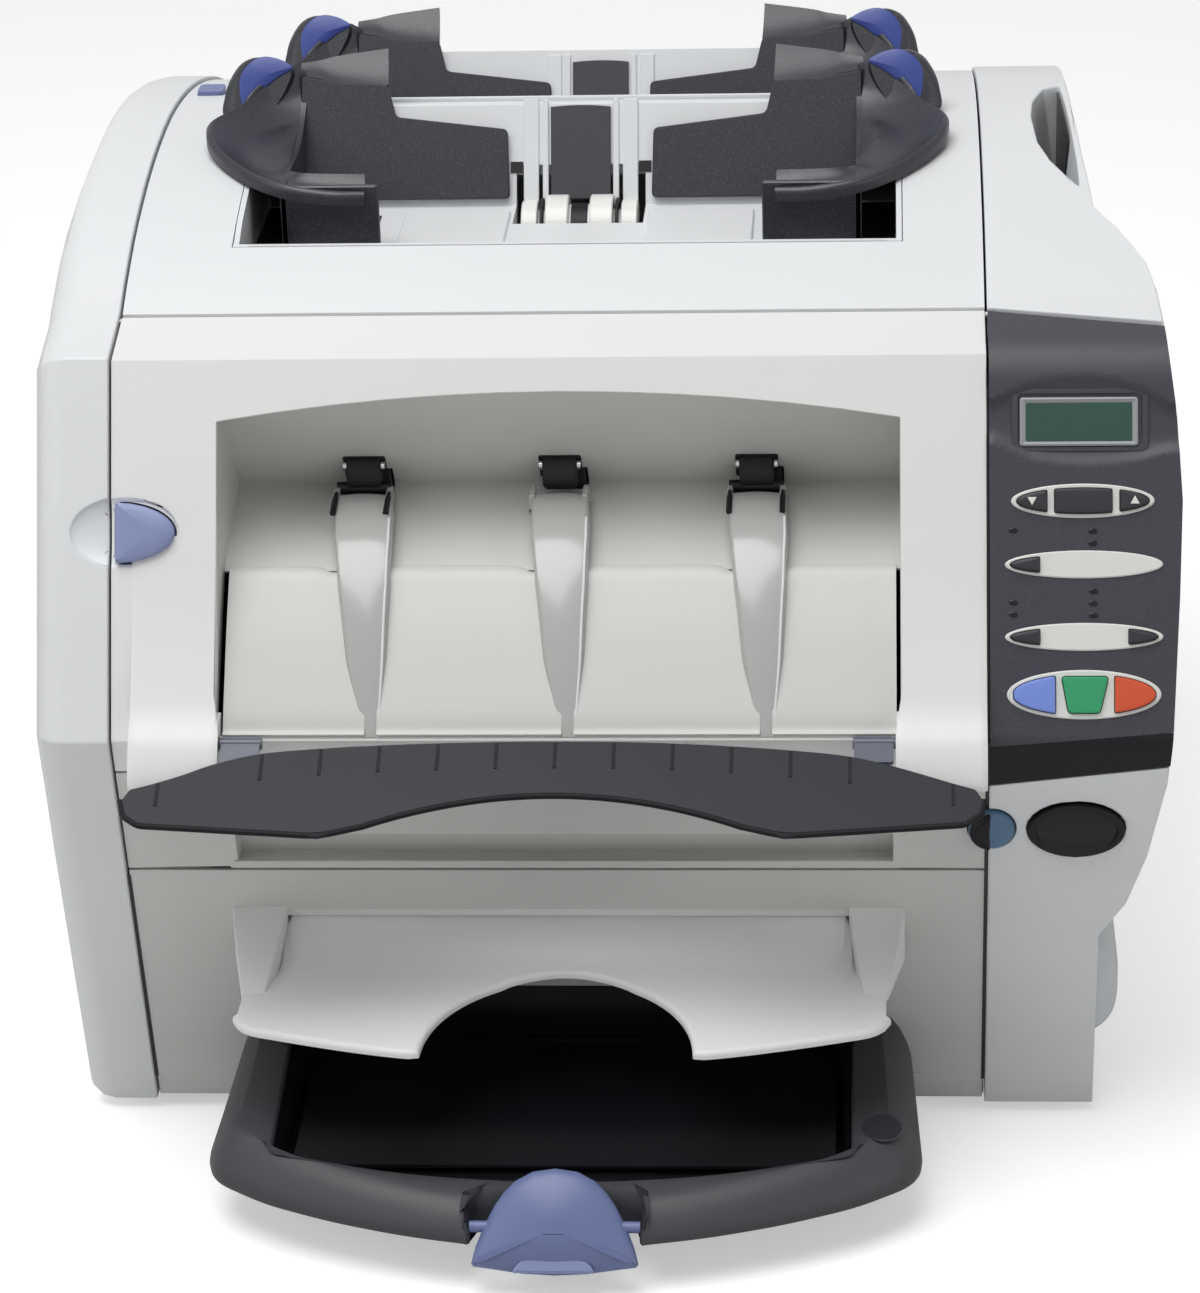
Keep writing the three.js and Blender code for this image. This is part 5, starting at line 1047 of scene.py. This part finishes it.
def finger(x):
    """Rings square to the line: half its width read off a table, shifted from left to right on its way."""
    share = finger_run[:, None]
    depth = FOOT_DEPTH + (TIP_DEPTH - FOOT_DEPTH) * share
    heading = np.gradient(finger_line, axis=0)
    heading /= np.linalg.norm(heading, axis=1, keepdims=True)
    normal = np.column_stack([heading[:, 1], -heading[:, 0]])
    normal *= np.where(normal[:, 1:] < -0.5, -1.0, 1.0)
    rise = depth * SECTION[None, :, 1]
    ring = np.empty((len(finger_line), len(SECTION), 3))
    foot = np.where(SECTION[:, 1] < -0.4, 0.2, 0.0) * np.clip(2 * share - 1, 0.0, 1.0)
    ring[..., 0] = finger_middle(x, share) + finger_half * SECTION[None, :, 0] * (1 + foot)
    ring[..., 1] = finger_line[:, :1] + normal[:, :1] * rise
    ring[..., 2] = finger_line[:, 1:] + normal[:, 1:] * rise
    return loft(ring)


# The fingers are painted with shade: a darker copy of the cover plastic.
for number, x in enumerate(FINGERS, 1):
    corners = [slab(rectangle(x0, x0 + 2.4, 72.0, 83.0, 1.1), 246.0, 251.9, FLAT, (0.4, 0.5))
               for x0 in (x - 13.4, x + 7.0)]
    add_piece(f"finger_{number}_smooth", joined(finger(x), *corners), "finger_white", "front_door",
              replaces=f"exit_finger_{number}")
for x in (FINGERS[0], FINGERS[2]):
    side = "left" if x < 0 else "right"
    clip = [rod([(x - 2.0 + step, 83.0, 250.6) for step in (-10.6, -5.0, 0.0, 5.0, 10.6)], 2.6)]
    for offset in (-10.2, 10.2):
        arm = [(x - 1.9 + offset, y, z + 0.8) for y, z in finger_line[4:20]]
        clip.append(rod(arm, 1.15, 10))
    add_piece(f"pinch_bar_{side}", joined(*clip), "clip_black_and_shade", "front_door")
# A thin pale rod on each finger's right side is a painted highlight.
highlight_rods = []
for x in FINGERS:
    edge = finger_middle(x, finger_run) + 0.94 * finger_half[:, 0]
    highlight_rods.append(rod(np.column_stack([edge, finger_line])[20:], 0.5, 8))
add_piece("finger_highlights", joined(*highlight_rods), "white_cover", "front_door")
HOOD = plane((0.0, 85.9, 261.3), (1, 0, 0), (0.0, -0.56, 0.83))
openings, ears = [], []
for x in FINGERS:
    frame_shape = rectangle(x - 10.2, x + 6.4, -12.0, 2.6, 1.2)
    openings.append(slab(frame_shape, -0.6, 0.35, HOOD))
    drum = [(x - 8.4, 2.0), (x - 8.4, 5.6), (x - 7.8, 6.2), (x + 4.0, 6.2), (x + 4.6, 5.6), (x + 4.6, 2.0)]
    openings.append(turned(drum, 85.2, 256.2))
    for x0 in (x - 9.9, x + 4.9):
        ears.append(turned([(x0, 0.8), (x0, 1.9), (x0 + 1.3, 1.9), (x0 + 1.3, 0.8)], 84.0, 259.6, 16))
add_piece("pinch_drums", joined(*openings), "black_rubber", "front_door")
add_piece("pinch_ears", joined(*ears), "shaft_steel", "front_door")
print("fingers", len(FINGERS), "rings", len(finger_line))

# %% [markdown]
# Under each side of the exit the door's skin sweeps forwards into a foot with a rolled lip. The solid
# has the foot already. A thin smooth skin over it follows the curve more closely, and its ends are let
# down so that no edge stands proud.

# %% Door feet
FOOT_SIDE = smooth_curve([(33.8, 252.0), (27.9, 240.2), (22.5, 230.0), (16.8, 220.0), (10.6, 210.0),
                          (4.0, 200.2), (0.2, 195.0), (-3.9, 190.8), (-9.9, 185.6), (-14.8, 178.4),
                          (-17.4, 173.0), (-17.7, 170.4), (-16.0, 168.6), (-11.0, 168.7)], 48)
FOOT_EASE, FOOT_DROP, CHAMBER_SIDE = 2.2, 1.1, 127.0
TUCK, TUCK_LOW, TUCK_RUN = 2.4, 188.0, 12.0


def foot_skin(x0, x1, columns=24):
    """The side profile swept across and let down at both ends by a quarter ellipse."""
    x = np.linspace(x0, x1, columns)
    near = np.clip(1 - np.minimum(x - x0, x1 - x) / FOOT_EASE, 0.0, 1.0)
    down = FOOT_DROP * (1 - np.sqrt(1 - near**2 * 0.98))
    grid = swept(FOOT_SIDE, x)
    tuck = np.clip((FOOT_SIDE[:, 1:] - TUCK_LOW) / TUCK_RUN, 0.0, 1.0) * TUCK
    inner = np.sign(x0) * np.maximum(np.abs(x), CHAMBER_SIDE + tuck)
    grid[..., 0] = np.where(np.abs(x) < CHAMBER_SIDE + TUCK, inner, x)
    away = np.linspace(0.0, 1.0, len(FOOT_SIDE))[:, None] ** 0.5
    grid[..., 1] += away * down
    return grid


for x0, x1 in ((-161.0, -CHAMBER_SIDE), (CHAMBER_SIDE, 161.0)):
    side = "left" if x0 < 0 else "right"
    add_piece(f"door_foot_skin_{side}", shell(foot_skin(x0, x1), 0.9), "beige_cover", "front_door")
print("foot profile", len(FOOT_SIDE))

# %% [markdown]
# Rollers are turned on a lathe: one profile of lengths and radii about their shaft. Plain cylinders
# side by side would do from afar, but a profile has the small eased edges that catch the light. The
# exit rollers are black rubber on bright steel, and the feed rollers of the hoppers are pale with dark
# rings.

# %% Rollers
EXIT_AXIS, FEED_AXIS = (100.5, 253.0), (209.0, 311.0)
TYRE = np.array([(-7.5, 3.4), (-7.5, 9.4), (-6.9, 10.0), (6.9, 10.0), (7.5, 9.4), (7.5, 3.4)])
tyres = [turned(TYRE + (x, 0.0), *EXIT_AXIS) for x in FINGERS]
add_piece("exit_tyres", joined(*tyres), "black_rubber", "exit_rollers",
          replaces="exit_rollers")
shaft = turned([(-131.0, 2.6), (-130.6, 3.0), (130.6, 3.0), (131.0, 2.6)], *EXIT_AXIS, 24)
add_piece("exit_shaft", shaft, "shaft_steel", "exit_rollers")
FEED = [(4.2, 11.2), (4.4, 14.5), (4.9, 15.0), (13.2, 15.0), (13.7, 14.5), (13.7, 9.0), (17.0, 9.0),
        (17.0, 12.1), (17.4, 12.6), (23.2, 12.6), (23.6, 12.1), (23.6, 3.0), (28.4, 3.0)]
feed_profile = [(-x, radius) for x, radius in FEED[::-1]] + FEED
GROOVE = [(14.7, 8.5), (14.7, 13.4), (15.0, 13.7), (15.6, 13.7), (15.9, 13.4), (15.9, 8.5)]
for hopper, (narrow, back, rise) in HOPPERS.items():
    y, z = FEED_AXIS[0] + back, FEED_AXIS[1] + rise
    add_piece(f"{hopper}_feed_wheels", turned(feed_profile, y, z), "roller_white", f"{hopper}_rollers",
              replaces=f"{hopper}_rollers")
    rings = [turned([(side * x, radius) for x, radius in GROOVE], y, z) for side in (-1.0, 1.0)]
    rings.append(turned([(-3.4, 9.0), (-3.4, 11.6), (3.4, 11.6), (3.4, 9.0)], y, z))
    add_piece(f"{hopper}_feed_rings", joined(*rings), "clip_black_and_shade", f"{hopper}_rollers")
print("feed rollers", len(HOPPERS))

# %% [markdown]
# On the leaning deck of each hopper stand a bare dark plate with an arched top in a pale frame, two short
# slots and two low pads at the foot. The slots could be cut into the deck. They are too narrow for their
# depth to be seen, so thin dark slabs paint the shadow in them.

# %% Hopper fittings
arch_x = np.linspace(12.2, -12.2, 15)
arched = np.column_stack([arch_x, 40.6 - 0.7 * (arch_x / 12.2) ** 2])
marker = np.vstack([[(-12.2, 2.2), (12.2, 2.2)], arched])
for hopper, (narrow, back, rise) in HOPPERS.items():
    shift = (0.0, back, rise)
    plate = slab(marker, 0.2, 1.5, DECK, (0.3, 0.3))
    add_piece(f"{hopper}_plate", moved(plate, shift), "tray_dark", "machine",
              replaces=f"{hopper}_marker")
    boxes = both_sides(13.2, 15.6, -0.5, 43.2) + both_sides(17.2, 23.4, -0.5, 43.2)
    posts = [slab(box, -0.2, 0.9, DECK, (0.3, 0.3)) for box in boxes]
    pads = [slab(box, WELL_FLOOR - 0.2, WELL_FLOOR + 1.5, FLAT, (0.5, 0.5))
            for box in both_sides(28.0, 71.0, 131.5, 206.0, 1.5)]
    add_piece(f"{hopper}_deck_trim", moved(joined(*posts, *pads), shift), "white_cover", "machine")
    # These dark slabs are painted shadow in the slots and gaps.
    slots = [slab(box, -0.2, 0.35, DECK) for box in both_sides(23.7, 28.8, 13.2, 17.8)]
    slots += [slab(box, WELL_FLOOR - 0.2, WELL_FLOOR + 0.3) for box in both_sides(80.5, 84.0, 140.0, 204.0)]
    for floor, deck in zip(both_sides(112.0, 127.7, 131.0, 214.0), both_sides(112.0, 127.7, 0.5, 34.0)):
        slots.append(slab(floor, WELL_FLOOR - 0.2, WELL_FLOOR + 0.5))
        slots.append(slab(deck, -0.2, 0.45, DECK))
    add_piece(f"{hopper}_slot_shadows", moved(joined(*slots), shift), "pocket_black_and_shadow", "machine")
print("hopper fittings", len(HOPPERS) * 3)

# %% [markdown]
# The manual shelf is a sheet that comes out of a shadowed slot, folds twice and runs forward to a
# rolled lip, with an arch cut out for the hand. An arch cut out of a board would have a square rim. So
# the rows run from the slot to the lip, the lip follows the plan's own edge, and arch and tips are
# smooth.

# %% Manual shelf
SHELF_SIDE = np.array([(-80.0, 81.0), (-14.0, 81.1), (-7.0, 81.7), (0.0, 83.2), (4.5, 85.6), (10.0, 90.6),
                       (15.5, 95.2), (19.0, 96.9), (24.0, 97.1), (70.0, 97.2)])
ARCH_HALF, ARCH_DEPTH, SLOT_BACK = 53.0, 58.0, 58.0
SHELF_HALF, SHELF_LOW = 111.5, 81.0


def shelf_edge():
    """The plan's front edge: a straight run to a tip, half an ellipse, and the same again."""
    turn = np.linspace(math.pi, 0.0, 45)
    arch = np.column_stack([ARCH_HALF * np.cos(turn), -ARCH_DEPTH * (1 - np.sin(turn))])
    x = np.linspace(123.2, 55.0, 30)
    run = -ARCH_DEPTH + 19.0 * ((x - ARCH_HALF) / 70.4) ** 1.25
    corner = 9.0 - np.sqrt(81.0 - np.clip(x - 114.4, 0.0, 8.9) ** 2)
    right = np.column_stack([x, run + corner])
    return np.vstack([right * (-1, 1), arch, right[::-1]])


def shelf_sheet(rows=60, roll=0.8):
    """Rows from the slot to the edge at heights read off the side profile, then a quarter roll down."""
    edge = shelf_edge()
    y = SLOT_BACK + (edge[:, 1] - SLOT_BACK) * np.linspace(0.0, 1.0, rows)[:, None]
    inside = np.clip((SHELF_HALF - np.abs(edge[:, 0])) / 3.0, 0.0, 1.0)
    z = SHELF_LOW + (np.interp(y, *smooth_curve(SHELF_SIDE, 200).T) - SHELF_LOW) * inside
    sheet = np.stack([np.broadcast_to(edge[:, 0], y.shape), y, z], axis=-1)
    tangent = np.gradient(edge, axis=0)
    away = np.column_stack([tangent[:, 1], -tangent[:, 0], np.zeros(len(edge))])
    away /= np.linalg.norm(away, axis=1, keepdims=True)
    angle = np.linspace(0.25, math.pi / 2, 6)[:, None, None]
    lip = sheet[-1] + roll * (np.sin(angle) * away - (1 - np.cos(angle)) * (0, 0, 1.0))
    return np.concatenate([sheet, lip, lip[-1:] - (0, 0, 1.2)])


case = [slab(rectangle(-124.0, 124.0, 17.6, 62.0), 98.0, 101.0)]
case += [slab(box, 79.0, 98.4) for box in both_sides(121.0, 124.0, 21.0, 62.0)]
rib_y = np.array((5.5, 8.0, 12.0, 16.0, 19.0))
rib_z = np.interp(rib_y, *SHELF_SIDE.T) + 0.25
for x in (9.0, 27.0, 45.3, 63.5, 77.5):
    for middle in (-1.0 - x, -1.0 + x):
        slope = np.column_stack([np.full(5, middle), rib_y, rib_z])
        case.append(rod(slope, [0.2, 0.6, 1.0, 1.1, 1.1], 8))
add_piece("shelf_sheet", joined(shell(shelf_sheet(), -1.2), *case), "beige_cover", "machine",
          replaces="manual_shelf")
LOW_FRONT = plane((0.0, 0.0, NOSE), (1, 0, 0), tilted(-UNDERCUT))
WEDGE = plane((0.0, -18.0, SHELF_LOW), (1, 0, 0), (0.0, 0.847, 0.532))
cheek = rounded([(115.0, 0.4), (123.7, 0.2), (130.8, 41.0), (108.8, 42.0)], 2.0)
cheeks = []
for side in (-1.0, 1.0):
    outline = turned_left(cheek * (side, 1.0))
    top = [WEDGE(inset(outline, step), height) for step, height in ((0.0, -0.9), (0.3, -0.3), (0.9, 0.0))]
    cheeks.append(loft([top[0] * (1, 1, 0) + (0, 0, 80.2), *top]))
add_piece("shelf_cheeks", joined(*cheeks), "beige_cover", "machine")
corner = np.array([(137.8, -166.4), (137.8, -120.6), (120.5, -120.6), (120.5, -134.0), (124.6, -137.2),
                   (128.0, -142.9), (130.9, -149.0), (132.6, -155.2), (133.2, -166.4)])
fillers = [slab(corner * (side, 1.0), -1.6, 0.04, LOW_FRONT) for side in (-1.0, 1.0)]
# The lips take the lower covers' painted-shade grey.
add_piece("tray_opening_lips", joined(*fillers), "lower_shade_grey", "machine")
print("shelf edge points", len(shelf_edge()))

# %% [markdown]
# The tongue of the tray is a bell-shaped button that leans back in its notch, strongly domed, with a small
# hollow for the finger at its foot. A flattened ball has the dome but not the bell. Here the bell itself is
# stepped inwards as it rises and a dome closes it, and a paler half oval raised on it is painted light that
# stands for the hollow.

# %% Tray tongue
TONGUE = plane((0.0, -97.0, 14.0), (1, 0, 0), tilted(math.atan2(20.0, 32.0)))
bell = [(31.2, -0.6), (29.6, 5.5), (26.6, 13.1), (22.7, 20.7), (19.3, 25.6), (15.0, 29.9), (8.4, 33.4),
        (0.0, 34.6)]
foot = [(-30.4, -1.8), (-22.0, -2.9), (-12.0, -4.3), (0.0, -4.9)]
bell_outline = np.vstack([bell, mirrored(bell), foot, mirrored(foot)])
dome = [(1.2, -2.2), (0.2, -1.4), (0.0, -0.4), (0.1, 0.6), (0.5, 1.5), (1.2, 2.4), (2.4, 3.4), (4.2, 4.4)]
tongue = raised(bell_outline, dome, TONGUE, crown=4.2)
pin = rod([(x, -90.0, 25.0) for x in (-31.9, -20.0, 0.0, 20.0, 31.9)], 2.2)
turn = np.linspace(0.0, math.pi, 25)
hollow = np.column_stack([-0.2 + 15.0 * np.cos(turn), -4.0 + 7.0 * np.sin(turn)])
scoop = slab(hollow, 2.0, 5.0, TONGUE, (0.8, 0.4))
# The paler half oval is painted light standing for the finger hollow.
add_piece("tongue_hollow_highlight", scoop, "light_blue", "sheet_tongue")
add_piece("tongue_domed", joined(tongue, pin), "soft_blue", "sheet_tongue",
          replaces="tray_tongue")
print("tongue", np.ptp(bell_outline, axis=0).round(1), "mm")

# %% [markdown]
# The tray is one ring of points carried round its plan: up the low outer edge, over a broad sloping rim
# that climbs towards the back, and down into the pocket. A rounded box has a rim of one width, but this
# rim and its pocket have different plans, so the two outlines are matched by their angle round the
# middle. The pocket is a dark liner of its own.

# %% Sheet tray
def even(outline, start, count=420):
    """The outline from its point nearest to start, with count points at equal steps."""
    first = int(np.argmin(np.linalg.norm(outline - start, axis=1)))
    return resampled(np.roll(outline, -first, axis=0), count)


TRAY_FOOT, RIM_LOW, RIM_RISE = 19.4, 31.0, 25.0
TRAY_FRONT, TRAY_RUN = -97.0, 160.0
HALF_PLAN = np.array([(132.0, 62.0), (137.4, -50.0), (112.0, -68.4), (84.0, -80.8), (56.0, -89.8),
                      (31.6, -94.9), (31.6, -81.0)])
HALF_EASE = [1.0, 13.0, 10.0, 12.0, 12.0, 2.0, 2.0]
tray_plan = round_corners(np.vstack([HALF_PLAN * (-1, 1), HALF_PLAN[::-1]]), HALF_EASE + HALF_EASE[::-1])
POCKET = [(-110.0, 60.0), (-110.0, -57.0), (-60.0, -69.6), (0.0, -74.2), (60.0, -69.6), (110.0, -57.0),
          (110.0, 60.0)]
pocket_plan = round_corners(POCKET, [1.0, 5.0, 24.0, 28.0, 24.0, 5.0, 1.0])
outer, inner = even(tray_plan, (-132.0, 61.0)), even(pocket_plan, (-110.0, 59.0))
angle_out = np.unwrap(np.arctan2(outer[:, 1] - 10.0, outer[:, 0]))
angle_in = np.unwrap(np.arctan2(inner[:, 1] - 10.0, inner[:, 0]))
inner = np.column_stack([np.interp(np.maximum.accumulate(angle_out), angle_in, side) for side in inner.T])
step_in = inset(outer, 1.0) - outer
notch_ease = np.where(np.abs(outer[:, :1]) < 33.5, 0.3, 1.0) * np.where(outer[:, 1:] > 50.0, 0.2, 1.0)


def rim_top(flat):
    """The rim's height, which rises evenly from front to back."""
    back = np.clip((flat[:, 1] - TRAY_FRONT) / TRAY_RUN, 0.0, 1.0)
    return RIM_LOW + RIM_RISE * back


def tray_ring(flat, share, below=0.0):
    """A ring at a share of the way from the tray's foot to its top, less a drop."""
    height = TRAY_FOOT + (rim_top(flat) - TRAY_FOOT) * share - below
    return np.column_stack([flat, height])


rings = []
for distance, share in ((2.0, 0.0), (0.3, 0.04), (0.0, 0.16), (0.5, 0.3), (2.0, 0.48), (5.0, 0.72),
                        (8.5, 0.9), (12.5, 1.0)):
    rings.append(tray_ring(outer + step_in * notch_ease * distance, share))
to_middle = np.array((0.0, 10.0)) - inner
to_middle /= np.linalg.norm(to_middle, axis=1, keepdims=True)
for distance, below in ((-2.4, 0.0), (-0.8, 0.2), (0.0, 0.9), (0.2, 2.4)):
    rings.append(tray_ring(inner + to_middle * distance, 1.0, below))
foot = inner + to_middle * 1.2
rings.append(np.column_stack([foot, np.full(len(foot), TRAY_FOOT)]))
add_piece("tray_rim", looped(rings), "tray_dark", "machine", replaces="sheet_tray")
liner = [tray_ring(inner + to_middle * 0.7, 1.0, 2.6), tray_ring(inner + to_middle * 0.9, 1.0, 3.4)]
for distance, height in ((3.4, 22.6), (6.5, 21.4), (7.0, 20.4)):
    liner.append(np.column_stack([inner + to_middle * distance, np.full(len(inner), height)]))
liner.append(tray_ring(inner + to_middle * 0.3, 0.1))
bed = slab(inset(turned_left(pocket_plan), 5.0), 19.6, 21.7)
add_piece("tray_pocket", joined(looped(liner), bed), "pocket_black_and_shadow", "machine")
RIM_FACE = plane((0.0, -87.0, 32.56), (1, 0, 0), (0.0, 0.988, 0.154))
disc = slab(oval(121.6, 45.0, 7.6, 7.6), -0.6, 0.45, RIM_FACE, (0.3, 0.15))
add_piece("rim_disc", disc, "guide_dark", "machine")
print("tray rings", len(rings))

# %% [markdown]
# The seams beside the door are deep, the hollow for the hand has painted shadow towards its outer wall, and
# the fluid bottle is a smooth pale body that stands out of the right side. Soft light reaches into gaps as
# narrow as these and turns them grey, so thin dark strips lie in them as painted shadow. The bottle is a
# rounded outline raised along its length, which gives it shoulders at both ends.

# %% Seams, hollow and bottle
UNDERCUT_SLOPE, SEAM_FOOT = 0.2049, 16.0
upper_seam = np.array([(2.6, 181.0), (4.4, 186.0), (60.0, 300.0), (84.0, 300.0), (84.0, 181.0)])
strips = [slab(upper_seam, 161.35, 162.05, SIDEWAYS)]
for x0, x1, top in ((160.7, 162.6, 181.0), (-170.4, -168.6, 118.0)):
    low_y, top_y = (UNDERCUT_SLOPE * (NOSE - z) - 0.12 for z in (SEAM_FOOT, top))
    lower_seam = np.array([(low_y, SEAM_FOOT), (low_y + 4.0, SEAM_FOOT), (top_y + 4.0, top), (top_y, top)])
    strips.append(slab(lower_seam, x0, x1, SIDEWAYS))
add_piece("seam_shadows", joined(*strips), "pocket_black_and_shadow", "machine")
# The hollow's dark sheet is painted shadow on its outer wall.
hollow_edge = rounded([(206.0, 349.0), (226.0, 351.0), (262.0, 351.0), (288.0, 347.0), (276.0, 330.0),
                       (246.0, 318.0), (222.0, 322.0)], 5.0)
# The hollow's outer wall is a flat sheet that leans: X falls with depth and grows with height.
rows = np.linspace(0.05, 1.0, 8)[:, None, None]
spread = hollow_edge.mean(axis=0) + (hollow_edge - hollow_edge.mean(axis=0)) * rows
wall_x = 195.15 - 0.04 * spread[..., 0] + 0.03 * spread[..., 1]
patch = np.concatenate([wall_x[..., None], spread], axis=-1)
thin = np.concatenate([patch, patch[::-1] - (0.35, 0.0, 0.0)])
add_piece("hollow_shadow", loft(thin), "pocket_black_and_shadow", "machine")
BOTTLE = plane((0.0, 42.4, 0.0), (1, 0, 0), (0, 0, 1))
bottle_side = rounded([(171.5, 27.6), (215.0, 27.6), (215.0, 74.4), (171.5, 74.4)], 19.0, 14)
steps = [(9.0, -65.0), (4.0, -63.6), (1.2, -60.6), (0.0, -56.0), (0.0, -12.0), (0.6, -8.0), (2.0, -4.6),
         (4.4, -2.0), (8.0, -0.4)]
add_piece("bottle_smooth", raised(bottle_side, steps, BOTTLE, crown=0.4), "bottle_white", "fluid_bottle",
          replaces="fluid_bottle")
print("bottle", np.ptp(bottle_side, axis=0).round(1), "mm")

# %% [markdown]
# At the right seam the latch is a round blue button whose left half is darkened as painted shade of the deep
# gap at its edge, and next to it an oval window sits in a black rim. Flat discs would show no light on their
# edges, so each is an outline raised in steps and slightly domed.

# %% Latch and window
latch_front = [(0.0, -5.0), (0.0, 1.8), (0.5, 2.8), (1.4, 3.3)]
latch_plane = plane((163.2, 8.4, 141.5), (1, 0, 0), tilted(-UNDERCUT))
latch = raised(oval(0.0, 0.0, 8.8, 8.8, 48), latch_front, latch_plane, crown=0.8)
add_piece("latch_dial", latch, "latch_teal", "side_latch", replaces="side_latch")
# The latch's left half is near black: painted shade of the deep gap beside it.
shaded_half = slab(oval_part(0.0, 0.0, 8.3, 8.3, -8.3, -0.6, 18), 2.0, 4.4, latch_plane, (0.6, 0.5))
add_piece("latch_shade", shaded_half, "clip_black_and_shade", "side_latch")
WINDOW = plane((195.2, 8.4, 141.2), (1, 0, 0), tilted(-UNDERCUT))
rim_out, rim_in = oval(0.0, 0.0, 18.2, 12.3, 64), oval(0.0, 0.0, 15.4, 9.7, 64)
add_piece("window_rim", band(rim_out, rim_in, 0.4, 3.0, WINDOW), "clip_black_and_shade", "machine",
          ease=0.5)
glass = raised(rim_in, [(0.0, -0.5), (0.0, 1.9)], WINDOW, crown=0.9)
add_piece("window_glass", glass, "window_dark", "machine")
print("window", np.ptp(rim_out, axis=0).round(1), "mm")
